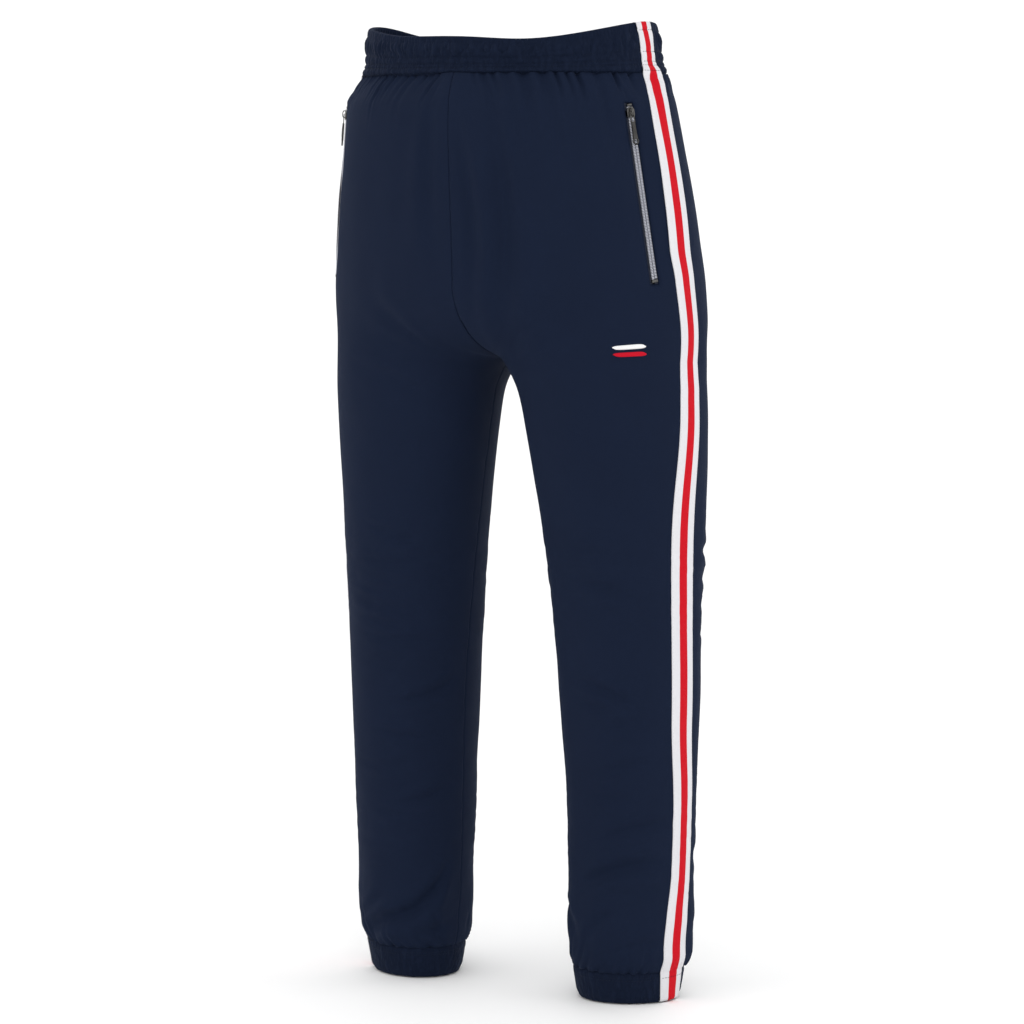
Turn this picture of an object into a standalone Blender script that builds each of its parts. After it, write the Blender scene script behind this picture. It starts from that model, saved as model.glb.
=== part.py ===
"""Navy tracksuit trousers with an elasticated waistband and cuffs, striped side tapes and zipped pockets.

+X is the wearer's left, the front faces -Y and +Z is up. The origin is the middle of the waist opening, level with
the top edge at the wearer's sides. Heights below are measured up from the hem, and lengths are in metres.
"""

import bpy
import numpy as np
from mathutils import Vector

# Sizes of the garment. The section tables below are drawn for a hip width of PATTERN_WIDTH.
HIP_WIDTH = 0.417
PATTERN_WIDTH = 0.417
CUFF_HEIGHT = 0.0335
CROTCH_HEIGHT = 0.672
RISE_CURVE = 0.081
ZIP_LENGTH = 0.183
ZIP_DROP = 0.031
BAND_FRONT = 0.038
BAND_SIDE = 0.053
BAND_BACK = 0.043

# Heights that follow from them, up to the top edge at the sides
ZIP_BOTTOM = CROTCH_HEIGHT + RISE_CURVE
ZIP_TOP = ZIP_BOTTOM + ZIP_LENGTH
YOKE_HEIGHT = ZIP_TOP + 0.58 * ZIP_DROP
WAIST_SEAM = ZIP_TOP + ZIP_DROP
OUTSEAM = WAIST_SEAM + BAND_SIDE

# Leg sections, from the hem to the crotch: their places as shares of the way from cuff to crotch, the section's
# centre, its long and short half-axes, and where its two seams sit, in degrees ahead of the wearer's side
LEG_SHARES = [0.0, 0.0258, 0.0932, 0.2592, 0.4252, 0.5912, 0.7588, 0.8872, 0.9499, 0.9812, 1.0]
LEG_HEIGHT = [0.0] + [CUFF_HEIGHT + share * (CROTCH_HEIGHT - CUFF_HEIGHT) for share in LEG_SHARES]
LEG_CENTRE_X = [0.1312, 0.1312, 0.1320, 0.1324, 0.1323, 0.1305, 0.1284, 0.1245, 0.1195, 0.1155, 0.1100, 0.1035]
LEG_CENTRE_Y = [0.0194, 0.0194, 0.0194, 0.0193, 0.0204, 0.0195, 0.0158, 0.0124, 0.0090, 0.0070, 0.0065, 0.0065]
LEG_LONG = [0.0545, 0.0560, 0.0605, 0.0635, 0.0665, 0.0714, 0.0773, 0.0858, 0.0940, 0.0970, 0.1000, 0.1045]
LEG_SHORT = [0.0470, 0.0490, 0.0560, 0.0600, 0.0652, 0.0695, 0.0730, 0.0780, 0.0840, 0.0880, 0.0930, 0.0980]
SIDE_SEAM_TURN = [12.0, 12.0, 11.0, 9.2, 9.3, 13.3, 13.6, 8.6, 2.5, 1.0, 0.5, 0.0]
INSEAM_TURN = [10.0, 10.0, 10.0, 7.5, 8.5, 11.5, 7.0, 2.5, 0.5, 0.0, 0.0, 0.0]
LEG_TILT = 30.0

# Hip sections, from the crotch to the top edge: half width, half depth at the front and the back, centre, and how
# many degrees ahead of the wearer's side the side seam sits
HIP_HEIGHT = [CROTCH_HEIGHT, ZIP_BOTTOM, ZIP_TOP, YOKE_HEIGHT, WAIST_SEAM, OUTSEAM]
HIP_HALF_WIDTH = [0.2080, 0.2085, 0.1855, 0.1795, 0.1715, 0.1650]
HIP_FRONT = [0.1160, 0.1290, 0.1250, 0.1215, 0.1170, 0.1120]
HIP_BACK = [0.1260, 0.1470, 0.1270, 0.1225, 0.1160, 0.1120]
HIP_CENTRE = [0.0065, 0.0060, -0.0050, -0.0025, 0.0005, -0.0040]
HIP_SEAM_TURN = [0.0, 4.0, 3.0, 2.5, 2.0, 0.0]

# Cloth
CLOTH = 0.0012
SEAM_GAP = 0.0003
BAND_CLOTH = 0.0010
ELASTIC_THICK = 0.0014
ELASTIC_ROOM = 0.0022
WAIST_ELASTIC_WIDTH = 0.030
CUFF_ELASTIC_WIDTH = 0.022
TAPE_WIDTH = 0.032
TAPE_THICK = 0.0008
BAG_CLOTH = 0.0006

# Pocket and zip, with heights measured out of the cloth
ZIP_AHEAD_TOP = 0.048
ZIP_AHEAD_BOTTOM = 0.043
ZIP_SLOT = 0.012
SLOT_ROW_LENGTH = 0.20
COIL_WIDTH = 0.0021
COIL_GAP = 0.0009
COIL_THICK = 0.0029
ZIP_TAPE_WIDTH = 0.0090
ZIP_TAPE_THICK = 0.0007
ZIP_TAPE_TOP = -0.0039
COIL_BASE = ZIP_TAPE_TOP + SEAM_GAP
SLIDER_LENGTH = 0.0110
SLIDER_WIDTH = 0.0084
SLIDER_START = 0.004
SLIDER_ROOM = 0.0008
SLIDER_WALL = 0.0008
PLATE_THICK = 0.0011
PLATE_LOW = COIL_BASE + COIL_THICK + SLIDER_ROOM
PLATE_TOP = PLATE_LOW + PLATE_THICK
WEDGE_ROOM = 0.00023
BRIDGE_WIDTH = 0.0016
BRIDGE_TOP = PLATE_TOP + 0.0030
BRIDGE_THICK = 0.0009
PIN_RISE = PLATE_TOP + 0.0010
PIN_ALONG = 0.0050
PULL_PIN = 0.0010
PULL_HALF_WIDTH = 0.0028
PULL_LENGTH = 0.034
BAG_OVERLAP = 0.012
BAG_REAR = 0.028
BAG_WIDTH = 0.122
BAG_START = 0.0072
BAG_ROOM = 0.0160

# Embroidered mark on the thigh
MARK_HEIGHT = CROTCH_HEIGHT + 0.016
MARK_AHEAD = 0.079
MARK_LENGTH = 0.034
MARK_BAR = 0.0055
MARK_SPACING = 0.0085
MARK_THICK = 0.0008

# How finely the solids are built
DENSE = 65
RING_STEPS = 56
NEARBY = 0.002
SMALL = 1e-9


def clear_scene():
    for thing in list(bpy.data.objects):
        bpy.data.objects.remove(thing)


def material(name, colour, roughness, metallic=0.0):
    made = bpy.data.materials.new(name)
    made.use_nodes = True
    shader = made.node_tree.nodes["Principled BSDF"]
    shader.inputs["Base Color"].default_value = (*colour, 1.0)
    shader.inputs["Roughness"].default_value = roughness
    shader.inputs["Metallic"].default_value = metallic
    made.diffuse_color = (*colour, 1.0)
    return made


def new_object(name, points, faces, look, origin=(0.0, 0.0, 0.0)):
    """A mesh object whose points are given in the garment's frame and whose own origin is at `origin`."""
    mesh = bpy.data.meshes.new(name)
    origin = np.asarray(origin, float)
    mesh.from_pydata([tuple(p - origin) for p in points], [], faces)
    mesh.materials.append(look)
    made = bpy.data.objects.new(name, mesh)
    made.location = Vector(origin)
    bpy.context.scene.collection.objects.link(made)
    return made


def sided(points, side):
    """Points built for the wearer's left, moved to the side asked for: 1 is the left and -1 the right."""
    return points * np.array([float(side), 1.0, 1.0])


# ---- The garment's outer surface, for the wearer's left half ----


def table(height, heights, values):
    """A value read from a table of sections, eased between its heights."""
    i = int(np.clip(np.searchsorted(heights, height, side="right") - 1, 0, len(heights) - 2))
    share = (height - heights[i]) / (heights[i + 1] - heights[i])
    slope = np.diff(values) / np.diff(heights)
    before = slope[max(i - 1, 0)]
    after = slope[min(i + 1, len(slope) - 1)]
    step = heights[i + 1] - heights[i]

    def knot(first, second):
        return 0.0 if first * second <= 0 else 2 * first * second / (first + second)

    start = knot(before, slope[i]) * step
    end = knot(slope[i], after) * step
    s2, s3 = share**2, share**3
    return (
        (2 * s3 - 3 * s2 + 1) * values[i]
        + (s3 - 2 * s2 + share) * start
        + (3 * s2 - 2 * s3) * values[i + 1]
        + (s3 - s2) * end
    )


def leg_section(height, angles):
    """Points of the leg's section at these angles, in degrees from the wearer's side."""
    long_half = table(height, LEG_HEIGHT, LEG_LONG)
    short_half = table(height, LEG_HEIGHT, LEG_SHORT)
    tilt = np.radians(LEG_TILT)
    turn = np.radians(angles) - tilt
    along = long_half * np.cos(turn)
    across = short_half * np.sin(turn)
    x = table(height, LEG_HEIGHT, LEG_CENTRE_X) + along * np.cos(tilt) - across * np.sin(tilt)
    y = table(height, LEG_HEIGHT, LEG_CENTRE_Y) + along * np.sin(tilt) + across * np.cos(tilt)
    return np.stack([np.maximum(x, SEAM_GAP / 2), y, np.full_like(x, height)], axis=1)


def hip_value(height, values):
    return np.interp(height, HIP_HEIGHT, values)


def hip_turns(height, way):
    seam = hip_value(height, HIP_SEAM_TURN)
    return np.radians(np.linspace(-way * seam, 90.0, DENSE))


def hip_section(height, way):
    """A quarter of the hip's section, from the side seam to the centre line; `way` is -1 in front and 1 behind."""
    turn = hip_turns(height, way)
    in_front = way * turn < 0
    depth = np.where(in_front, hip_value(height, HIP_FRONT), hip_value(height, HIP_BACK))
    x = hip_value(height, HIP_HALF_WIDTH) * np.cos(turn)
    y = hip_value(height, HIP_CENTRE) + way * depth * np.sin(turn)
    return np.stack([np.maximum(x, SEAM_GAP / 2), y, np.full_like(x, height)], axis=1)


def leg_half(height, way):
    seam = -table(height, LEG_HEIGHT, SIDE_SEAM_TURN)
    inseam = table(height, LEG_HEIGHT, INSEAM_TURN)
    last = 180.0 + inseam if way > 0 else -180.0 + inseam
    return leg_section(height, np.linspace(seam, last, DENSE))


def rise_half(share, way):
    """A row of the curved crotch: `share` runs from 0 at the crotch to 1 where the rise stands straight."""
    leg = leg_half(CROTCH_HEIGHT, way)
    outer = CROTCH_HEIGHT + RISE_CURVE * share
    inner = CROTCH_HEIGHT + RISE_CURVE * (1 - np.cos(share * np.pi / 2))
    blend = np.sin(share * np.pi / 2)
    points = leg * (1 - blend) + hip_section(outer, way) * blend
    ease = np.linspace(0.0, 1.0, DENSE)
    ease = ease * ease * (3 - 2 * ease)
    points[:, 2] = outer + (inner - outer) * ease
    return points


def band_half(share, way):
    """A row of the waistband: `share` runs from 0 at the waist seam to 1 at the top edge."""
    height = WAIST_SEAM + share * (OUTSEAM - WAIST_SEAM)
    points = hip_section(height, way)
    turn = hip_turns(height, way)
    middle = np.where(way * turn < 0, BAND_FRONT, BAND_BACK)
    tall = middle + (BAND_SIDE - middle) * np.cos(turn) ** 2
    points[:, 2] = WAIST_SEAM + share * tall
    return points


def surface_row(station, way):
    """The half row at a station, moved into the row frame. Stations run up the side seam from the hem."""
    if station <= CROTCH_HEIGHT:
        points = leg_half(station, way)
    elif station < CROTCH_HEIGHT + RISE_CURVE:
        points = rise_half((station - CROTCH_HEIGHT) / RISE_CURVE, way)
    elif station <= WAIST_SEAM:
        points = hip_section(station, way)
    else:
        points = band_half((station - WAIST_SEAM) / (OUTSEAM - WAIST_SEAM), way)
    width = HIP_WIDTH / PATTERN_WIDTH
    return points * np.array([width, width, 1.0]) - np.array([0.0, 0.0, OUTSEAM])


def whole_row(station):
    """The wearer's left half of a row, and each point's distance ahead of the side seam, negative behind it."""
    back = surface_row(station, 1)
    points = np.concatenate([back[::-1], surface_row(station, -1)[1:]])
    steps = np.linalg.norm(np.diff(points, axis=0), axis=1)
    length = np.concatenate([[0.0], np.cumsum(steps)])
    return points, length - length[len(back) - 1]


def on_row(row, aheads):
    points, ahead = row
    return np.stack([np.interp(aheads, ahead, points[:, i]) for i in range(3)], axis=-1)


def on_surface(station, ahead):
    return on_row(whole_row(station), ahead)


def surface_grid(stations, aheads):
    """A grid of surface points, one row per station, with the unit normals that point out of the garment."""
    rows = [whole_row(s) for s in stations]
    grid = np.array([on_row(row, a) for row, a in zip(rows, aheads)])
    across = np.array([on_row(row, a + NEARBY) - on_row(row, a - NEARBY) for row, a in zip(rows, aheads)])
    normal = np.cross(np.gradient(grid, axis=0), across)
    return grid, normal / np.linalg.norm(normal, axis=2, keepdims=True)


# ---- Solids ----


def sheet_faces(cells, side):
    """Faces of a sheet solid: both skins, and a wall on every cell edge that no other cell shares."""
    rows, columns = cells.shape
    count = (rows + 1) * (columns + 1)
    faces = []
    for r in range(rows):
        for c in range(columns):
            if not cells[r, c]:
                continue
            corners = [r * (columns + 1) + c, r * (columns + 1) + c + 1]
            corners += [corners[1] + columns + 1, corners[0] + columns + 1]
            faces.append(corners[::-1])
            faces.append([count + i for i in corners])
            beside = [(r - 1, c), (r, c + 1), (r + 1, c), (r, c - 1)]
            for (br, bc), start, end in zip(beside, corners, corners[1:] + corners[:1]):
                if not (0 <= br < rows and 0 <= bc < columns and cells[br, bc]):
                    faces.append([start, end, count + end, count + start])
    return faces if side > 0 else [face[::-1] for face in faces]


def sheet(name, grid, normal, depths, look, side, cells=None):
    """A closed solid between two depths off a surface grid; `cells` says which of the grid's cells are cloth."""
    if cells is None:
        cells = np.ones((grid.shape[0] - 1, grid.shape[1] - 1), bool)
    low, high = depths
    skins = [grid + normal * high, grid + normal * low]
    points = np.concatenate([skin.reshape(-1, 3) for skin in skins])
    points[:, 0] = np.maximum(points[:, 0], SEAM_GAP / 2)
    faces = sheet_faces(cells, side)
    used = sorted({i for face in faces for i in face})
    renumber = {old: new for new, old in enumerate(used)}
    return new_object(name, sided(points[used], side), [[renumber[i] for i in f] for f in faces], look)


def ring(name, centre, normal, profile, look, side, flip):
    """A closed band: `profile` gives (outward, up) offsets for each step round the ring."""
    steps = len(centre)
    sides = profile.shape[1]
    points = (
        centre[:, None, :]
        + profile[:, :, :1] * normal[:, None, :]
        + profile[:, :, 1:] * np.array([0.0, 0.0, 1.0])
    ).reshape(-1, 3)
    faces = []
    for i in range(steps):
        for j in range(sides):
            near, far = i * sides, (i + 1) % steps * sides
            corners = (near + j, far + j, far + (j + 1) % sides, near + (j + 1) % sides)
            faces.append(tuple(reversed(corners)) if flip != (side < 0) else corners)
    return new_object(name, sided(points, side), faces, look)


def place(frame, along, side, out):
    """A point given by its distances down the zip, towards the side seam and out of the cloth."""
    top, down, back, away = frame
    return top + down * along + back * side + away * out


def prism(name, frame, outline, depths, look, side, origin=(0.0, 0.0, 0.0)):
    """A plate cut to an outline of (along, side) points, between two heights off the cloth."""
    count = len(outline)
    points = [place(frame, a, s, depth) for depth in depths for a, s in outline]
    faces = [tuple(range(count)), tuple(range(2 * count - 1, count - 1, -1))]
    for i in range(count):
        j = (i + 1) % count
        faces.append((i, i + count, j + count, j))
    if side < 0:
        faces = [face[::-1] for face in faces]
    return new_object(name, np.array(points), faces, look, origin)


def box_outline(start, end, half_width, side=0.0):
    return [(start, side - half_width), (start, side + half_width), (end, side + half_width), (end, side - half_width)]


def join(base, others):
    """Unites pieces that are one solid, and drops the pieces it was made from."""
    for other in others:
        union = base.modifiers.new("union", "BOOLEAN")
        union.operation = "UNION"
        union.solver = "EXACT"
        union.object = other
    graph = bpy.context.evaluated_depsgraph_get()
    mesh = bpy.data.meshes.new_from_object(base.evaluated_get(graph))
    base.modifiers.clear()
    base.data = mesh
    for other in others:
        bpy.data.objects.remove(other)
    return base


# ---- Panels ----


def back_columns(station):
    """How far ahead of the side seam each column of a back panel lies."""
    return np.linspace(whole_row(station)[1][0] + SEAM_GAP / 2, -SEAM_GAP / 2, 13)


def front_columns(station):
    """The same for a front panel, with a column on each side of the zip's slot."""
    length = whole_row(station)[1][-1] - SEAM_GAP / 2
    zip_line = np.interp(station, [ZIP_BOTTOM, ZIP_TOP], [ZIP_AHEAD_BOTTOM, ZIP_AHEAD_TOP])
    near = np.array([TAPE_WIDTH / 2, zip_line - ZIP_SLOT / 2, zip_line + ZIP_SLOT / 2])
    near *= min(1.0, length / SLOT_ROW_LENGTH)
    return np.concatenate([[SEAM_GAP / 2], near, np.linspace(near[-1], length, 9)[1:]])


def panel_stations():
    shares = np.concatenate([[LEG_SHARES[1], 0.054], np.linspace(LEG_SHARES[2], LEG_SHARES[-3], 12), [0.978]])
    leg = np.concatenate([[CUFF_HEIGHT + SEAM_GAP], CUFF_HEIGHT + shares * (CROTCH_HEIGHT - CUFF_HEIGHT)])
    rise = CROTCH_HEIGHT + RISE_CURVE * np.linspace(0.0, 1.0, 8)
    hip = np.concatenate([np.linspace(ZIP_BOTTOM, ZIP_TOP, 7)[1:], [YOKE_HEIGHT, WAIST_SEAM - SEAM_GAP]])
    return np.concatenate([leg, rise, hip])


def make_back_panel(name, side, look):
    stations = panel_stations()
    grid, normal = surface_grid(stations, [back_columns(s) for s in stations])
    sheet(name, grid, normal, (-CLOTH, 0.0), look, side)


def make_front_panel(name, side, look):
    stations = panel_stations()
    aheads = [front_columns(s) for s in stations]
    grid, normal = surface_grid(stations, aheads)
    cells = np.ones((len(stations) - 1, len(aheads[0]) - 1), bool)
    beside_zip = (stations[:-1] > ZIP_BOTTOM - SMALL) & (stations[1:] < ZIP_TOP + SMALL)
    cells[beside_zip, 2] = False
    sheet(name, grid, normal, (-CLOTH, 0.0), look, side, cells)


def make_side_tape(name, side, look):
    cuff = [SEAM_GAP, CUFF_HEIGHT / 2]
    band = WAIST_SEAM + BAND_SIDE * np.array([0.1, 0.55, 0.99])
    stations = np.concatenate([cuff, panel_stations()[:-1], band])
    across = np.linspace(-TAPE_WIDTH / 2, TAPE_WIDTH / 2, 7)
    grid, normal = surface_grid(stations, [across] * len(stations))
    sheet(name, grid, normal, (SEAM_GAP, SEAM_GAP + TAPE_THICK), look, side)


# ---- Waistband and cuffs ----


def hip_ring(station):
    front, back = surface_row(station, -1), surface_row(station, 1)
    left = np.concatenate([front[::-1], back[1:]])
    return even_ring(np.concatenate([left, sided(left, -1)[::-1]]))


def leg_ring(station):
    front, back = surface_row(station, -1), surface_row(station, 1)
    return even_ring(np.concatenate([front[::-1][:-1], back[:-1]]))


def even_ring(points):
    """Evenly spaced points round a loop, and the level normals that point out of it."""
    loop = np.concatenate([points, points[:1]])
    length = np.concatenate([[0.0], np.cumsum(np.linalg.norm(np.diff(loop, axis=0), axis=1))])
    even = on_row((loop, length), np.linspace(0.0, length[-1], RING_STEPS, endpoint=False))
    around = np.roll(even, -1, axis=0) - np.roll(even, 1, axis=0)
    normal = np.cross(around, [0.0, 0.0, 1.0])
    return even, normal / np.linalg.norm(normal, axis=1, keepdims=True)


def ring_profile(tall, corners):
    """Offsets round a ring from corners given as (outward, share of the height, rise above that)."""
    return np.stack([np.stack([np.full_like(tall, out), share * tall + up], axis=1) for out, share, up in corners], 1)


def make_folded_band(name, elastic_name, seam, edge, elastic_width, looks, side):
    """A band of cloth folded in two, open at its seam edge, with a flat elastic lying inside the fold."""
    base, normal = seam
    tall = edge[0][:, 2] - base[:, 2]
    lean = ((edge[0] - base) * normal).sum(axis=1)
    fold = np.sign(tall[0])
    inside = -BAND_CLOTH - ELASTIC_ROOM
    wall = -fold * BAND_CLOTH
    casing = [
        (0.0, 0.0, 0.0),
        (0.0, 1.0, 0.0),
        (inside - BAND_CLOTH, 1.0, 0.0),
        (inside - BAND_CLOTH, 0.0, 0.0),
        (inside, 0.0, 0.0),
        (inside, 1.0, wall),
        (-BAND_CLOTH, 1.0, wall),
        (-BAND_CLOTH, 0.0, 0.0),
    ]
    half = fold * elastic_width / 2
    outer = inside / 2 - BAND_CLOTH / 2 + ELASTIC_THICK / 2
    strip = [(outer, 0.5, -half), (outer, 0.5, half), (outer - ELASTIC_THICK, 0.5, half)]
    strip.append((outer - ELASTIC_THICK, 0.5, -half))
    for node, corners, look in ((name, casing, looks["band"]), (elastic_name, strip, looks["elastic"])):
        profile = ring_profile(tall, corners)
        profile[:, :, 0] += lean[:, None] * profile[:, :, 1] / tall[:, None]
        ring(node, base, normal, profile, look, side, fold < 0)


# ---- Zip and pocket ----


def zip_frame(side):
    """The zip's top point and its three directions: down the zip, towards the side seam and out of the cloth."""
    top = on_surface(ZIP_TOP, ZIP_AHEAD_TOP)
    bottom = on_surface(ZIP_BOTTOM, ZIP_AHEAD_BOTTOM)
    down = (bottom - top) / np.linalg.norm(bottom - top)
    middle = (ZIP_TOP + ZIP_BOTTOM) / 2
    ahead = (ZIP_AHEAD_TOP + ZIP_AHEAD_BOTTOM) / 2
    across = on_surface(middle, ahead - 0.005) - on_surface(middle, ahead + 0.005)
    out = np.cross(across, down)
    out /= np.linalg.norm(out)
    if out[0] < 0:
        out = -out
    back = np.cross(down, out)
    if np.dot(back, across) < 0:
        back = -back
    frame = (top, down, back, out)
    length = float(np.linalg.norm(bottom - top))
    if side < 0:
        frame = tuple(sided(v, side) for v in frame)
    return frame, length


def make_zip_halves(suffix, side, frame, length, looks):
    """The two cloth tapes under the slot's edges, each with its row of coil."""
    for name, way in (("front", -1), ("rear", 1)):
        middle = way * (COIL_GAP / 2 + 0.0006 + ZIP_TAPE_WIDTH / 2)
        tape = box_outline(-0.005, length + 0.005, ZIP_TAPE_WIDTH / 2, middle)
        depths = (ZIP_TAPE_TOP - ZIP_TAPE_THICK, ZIP_TAPE_TOP)
        prism(f"zip_tape_{name}_{suffix}", frame, tape, depths, looks["zip cloth"], side)
        row = way * (COIL_GAP / 2 + COIL_WIDTH / 2)
        coil = box_outline(0.0034, length - 0.0052, COIL_WIDTH / 2, row)
        depths = (COIL_BASE, COIL_BASE + COIL_THICK)
        prism(f"zip_coil_{name}_{suffix}", frame, coil, depths, looks["coil"], side)


def make_zip_stops(suffix, side, frame, length, looks):
    depths = (COIL_BASE, 0.0002)
    top = box_outline(0.0010, 0.0030, 0.0026)
    prism(f"zip_top_stop_{suffix}", frame, top, depths, looks["zip metal"], side)
    bottom = box_outline(length - 0.0048, length - 0.0018, 0.0034)
    prism(f"zip_bottom_stop_{suffix}", frame, bottom, depths, looks["zip metal"], side)


def make_slider(suffix, side, frame, looks):
    """Two plates joined by a thin wedge that runs between the coils, side walls, and a bridge for the pull."""
    start, end = SLIDER_START, SLIDER_START + SLIDER_LENGTH
    half = SLIDER_WIDTH / 2
    outline = [
        (start, -half * 0.62),
        (start, half * 0.62),
        (start + 0.003, half),
        (end - 0.001, half),
        (end, half * 0.8),
        (end, -half * 0.8),
        (end - 0.001, -half),
        (start + 0.003, -half),
    ]
    look = looks["zip metal"]
    under = ZIP_TAPE_TOP - ZIP_TAPE_THICK - 0.0004
    inside = PLATE_LOW + 0.0005
    origin = place(frame, start + PIN_ALONG, 0.0, PIN_RISE)
    body = prism(f"zip_slider_{suffix}", frame, outline, (PLATE_LOW, PLATE_TOP), look, side, origin)
    pieces = [prism("plate_under", frame, outline, (under - 0.0010, under), look, side)]
    wedge = box_outline(start + 0.0015, start + 0.0065, COIL_GAP / 2 - WEDGE_ROOM)
    pieces.append(prism("wedge", frame, wedge, (under - 0.0005, inside), look, side))
    for way in (-1, 1):
        wall = box_outline(start + 0.0031, end - 0.0012, SLIDER_WALL / 2, way * (half - SLIDER_WALL / 2))
        pieces.append(prism("wall", frame, wall, (ZIP_TAPE_TOP + 0.0004, inside), look, side))
    for foot_start in (start + 0.0010, start + 0.0078):
        foot = box_outline(foot_start, foot_start + 0.0014, BRIDGE_WIDTH / 2)
        pieces.append(prism("foot", frame, foot, (inside, BRIDGE_TOP), look, side))
    beam = box_outline(start + 0.0010, start + 0.0092, BRIDGE_WIDTH / 2)
    pieces.append(prism("beam", frame, beam, (BRIDGE_TOP - BRIDGE_THICK, BRIDGE_TOP), look, side))
    return join(body, pieces)


def make_pull(suffix, side, frame, looks):
    """A wire loop whose bar passes under the slider's bridge, and a moulded grip on the loop's lower end."""
    along = SLIDER_START + PIN_ALONG
    pin = place(frame, along, 0.0, PIN_RISE)
    half = PULL_PIN / 2
    depths = (PIN_RISE - half, PIN_RISE + half)
    look = looks["zip metal"]
    bar = box_outline(along - half, along + half, PULL_HALF_WIDTH)
    link = prism(f"pull_link_{suffix}", frame, bar, depths, look, side, pin)
    pieces = []
    for way in (-1, 1):
        arm = box_outline(along - half, along + 0.0105, half, way * (PULL_HALF_WIDTH - half))
        pieces.append(prism("arm", frame, arm, depths, look, side))
    end = box_outline(along + 0.0090, along + 0.0105, PULL_HALF_WIDTH)
    pieces.append(prism("end", frame, end, depths, look, side))
    join(link, pieces)
    grip = [
        (along + 0.0108, -0.0018),
        (along + 0.0108, 0.0018),
        (along + 0.0125, 0.0025),
        (along + 0.0260, 0.0025),
        (along + 0.0290, 0.0036),
        (along + PULL_LENGTH, 0.0036),
        (along + PULL_LENGTH, -0.0036),
        (along + 0.0290, -0.0036),
        (along + 0.0260, -0.0025),
        (along + 0.0125, -0.0025),
    ]
    depths = (depths[0] - 0.0005, depths[1] + 0.0007)
    prism(f"pull_grip_{suffix}", frame, grip, depths, looks["pull grip"], side, pin)


def make_pocket_bag(suffix, side, looks):
    """Two layers of lining that lie inside the front panel: one against it, one with room for a hand."""
    steps = np.linspace(0.0, 1.0, 9)
    low, high = ZIP_BOTTOM - BAG_OVERLAP, ZIP_TOP + BAG_OVERLAP
    stations = low + (high - low) * steps
    grid, normal = surface_grid(stations, [BAG_REAR + BAG_WIDTH * steps] * 9)
    room = np.minimum(1.0, 3.2 * steps)[:, None] * np.minimum(1.0, 3.2 * (1 - steps))[None, :]
    room = (BAG_ROOM * room * room * (3 - 2 * room))[:, :, None]
    outer = -BAG_START
    inner = outer - BAG_CLOTH - SEAM_GAP - room
    sheet(f"pocket_bag_outer_{suffix}", grid, normal, (outer - BAG_CLOTH, outer), looks["lining"], side)
    sheet(f"pocket_bag_inner_{suffix}", grid, normal, (inner - BAG_CLOTH, inner), looks["lining"], side)


# ---- Mark ----


def make_mark(name, drop, look):
    """A raised bar of satin stitch with rounded ends, lying on the thigh of the wearer's left leg."""
    ends = np.linspace(-1.0, 1.0, 11)
    half = MARK_BAR / 2 * np.sqrt(1 - 0.88 * ends**6)
    aheads = MARK_AHEAD + ends * MARK_LENGTH / 2
    grid = np.array(
        [
            [on_surface(MARK_HEIGHT - drop + level * h, a) for h, a in zip(half, aheads)]
            for level in (-1.0, 0.0, 1.0)
        ]
    )
    normal = surface_grid([MARK_HEIGHT - 0.01, MARK_HEIGHT + 0.01], [aheads, aheads])[1][:1]
    sheet(name, grid, normal, (SEAM_GAP, SEAM_GAP + MARK_THICK), look, 1)


def main():
    clear_scene()
    looks = {
        "cloth": material("navy cloth", (0.022, 0.034, 0.072), 0.85),
        "band": material("navy band cloth", (0.020, 0.031, 0.066), 0.85),
        "elastic": material("white elastic", (0.70, 0.70, 0.68), 0.80),
        "tape": material("striped side tape", (0.80, 0.80, 0.80), 0.70),
        "zip cloth": material("navy zip tape", (0.016, 0.024, 0.052), 0.80),
        "coil": material("silver coil", (0.52, 0.54, 0.56), 0.35, 0.4),
        "zip metal": material("dark zip metal", (0.10, 0.10, 0.11), 0.35, 1.0),
        "pull grip": material("black pull grip", (0.02, 0.02, 0.022), 0.55),
        "lining": material("navy lining", (0.018, 0.028, 0.060), 0.80),
        "mark white": material("white thread", (0.85, 0.85, 0.84), 0.55),
        "mark red": material("red thread", (0.62, 0.02, 0.05), 0.55),
    }
    waist = (hip_ring(WAIST_SEAM + SEAM_GAP), hip_ring(OUTSEAM))
    make_folded_band("waistband", "waist_elastic", *waist, WAIST_ELASTIC_WIDTH, looks, 1)
    cuff = (leg_ring(CUFF_HEIGHT), leg_ring(0.0))
    for suffix, side in (("left", 1), ("right", -1)):
        make_front_panel(f"front_panel_{suffix}", side, looks["cloth"])
        make_back_panel(f"back_panel_{suffix}", side, looks["cloth"])
        make_side_tape(f"side_tape_{suffix}", side, looks["tape"])
        make_folded_band(f"cuff_{suffix}", f"cuff_elastic_{suffix}", *cuff, CUFF_ELASTIC_WIDTH, looks, side)
        frame, length = zip_frame(side)
        make_zip_halves(suffix, side, frame, length, looks)
        make_zip_stops(suffix, side, frame, length, looks)
        make_slider(suffix, side, frame, looks)
        make_pull(suffix, side, frame, looks)
        make_pocket_bag(suffix, side, looks)
    make_mark("mark_bar_upper", -MARK_SPACING / 2, looks["mark white"])
    make_mark("mark_bar_lower", MARK_SPACING / 2, looks["mark red"])


main()
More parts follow.
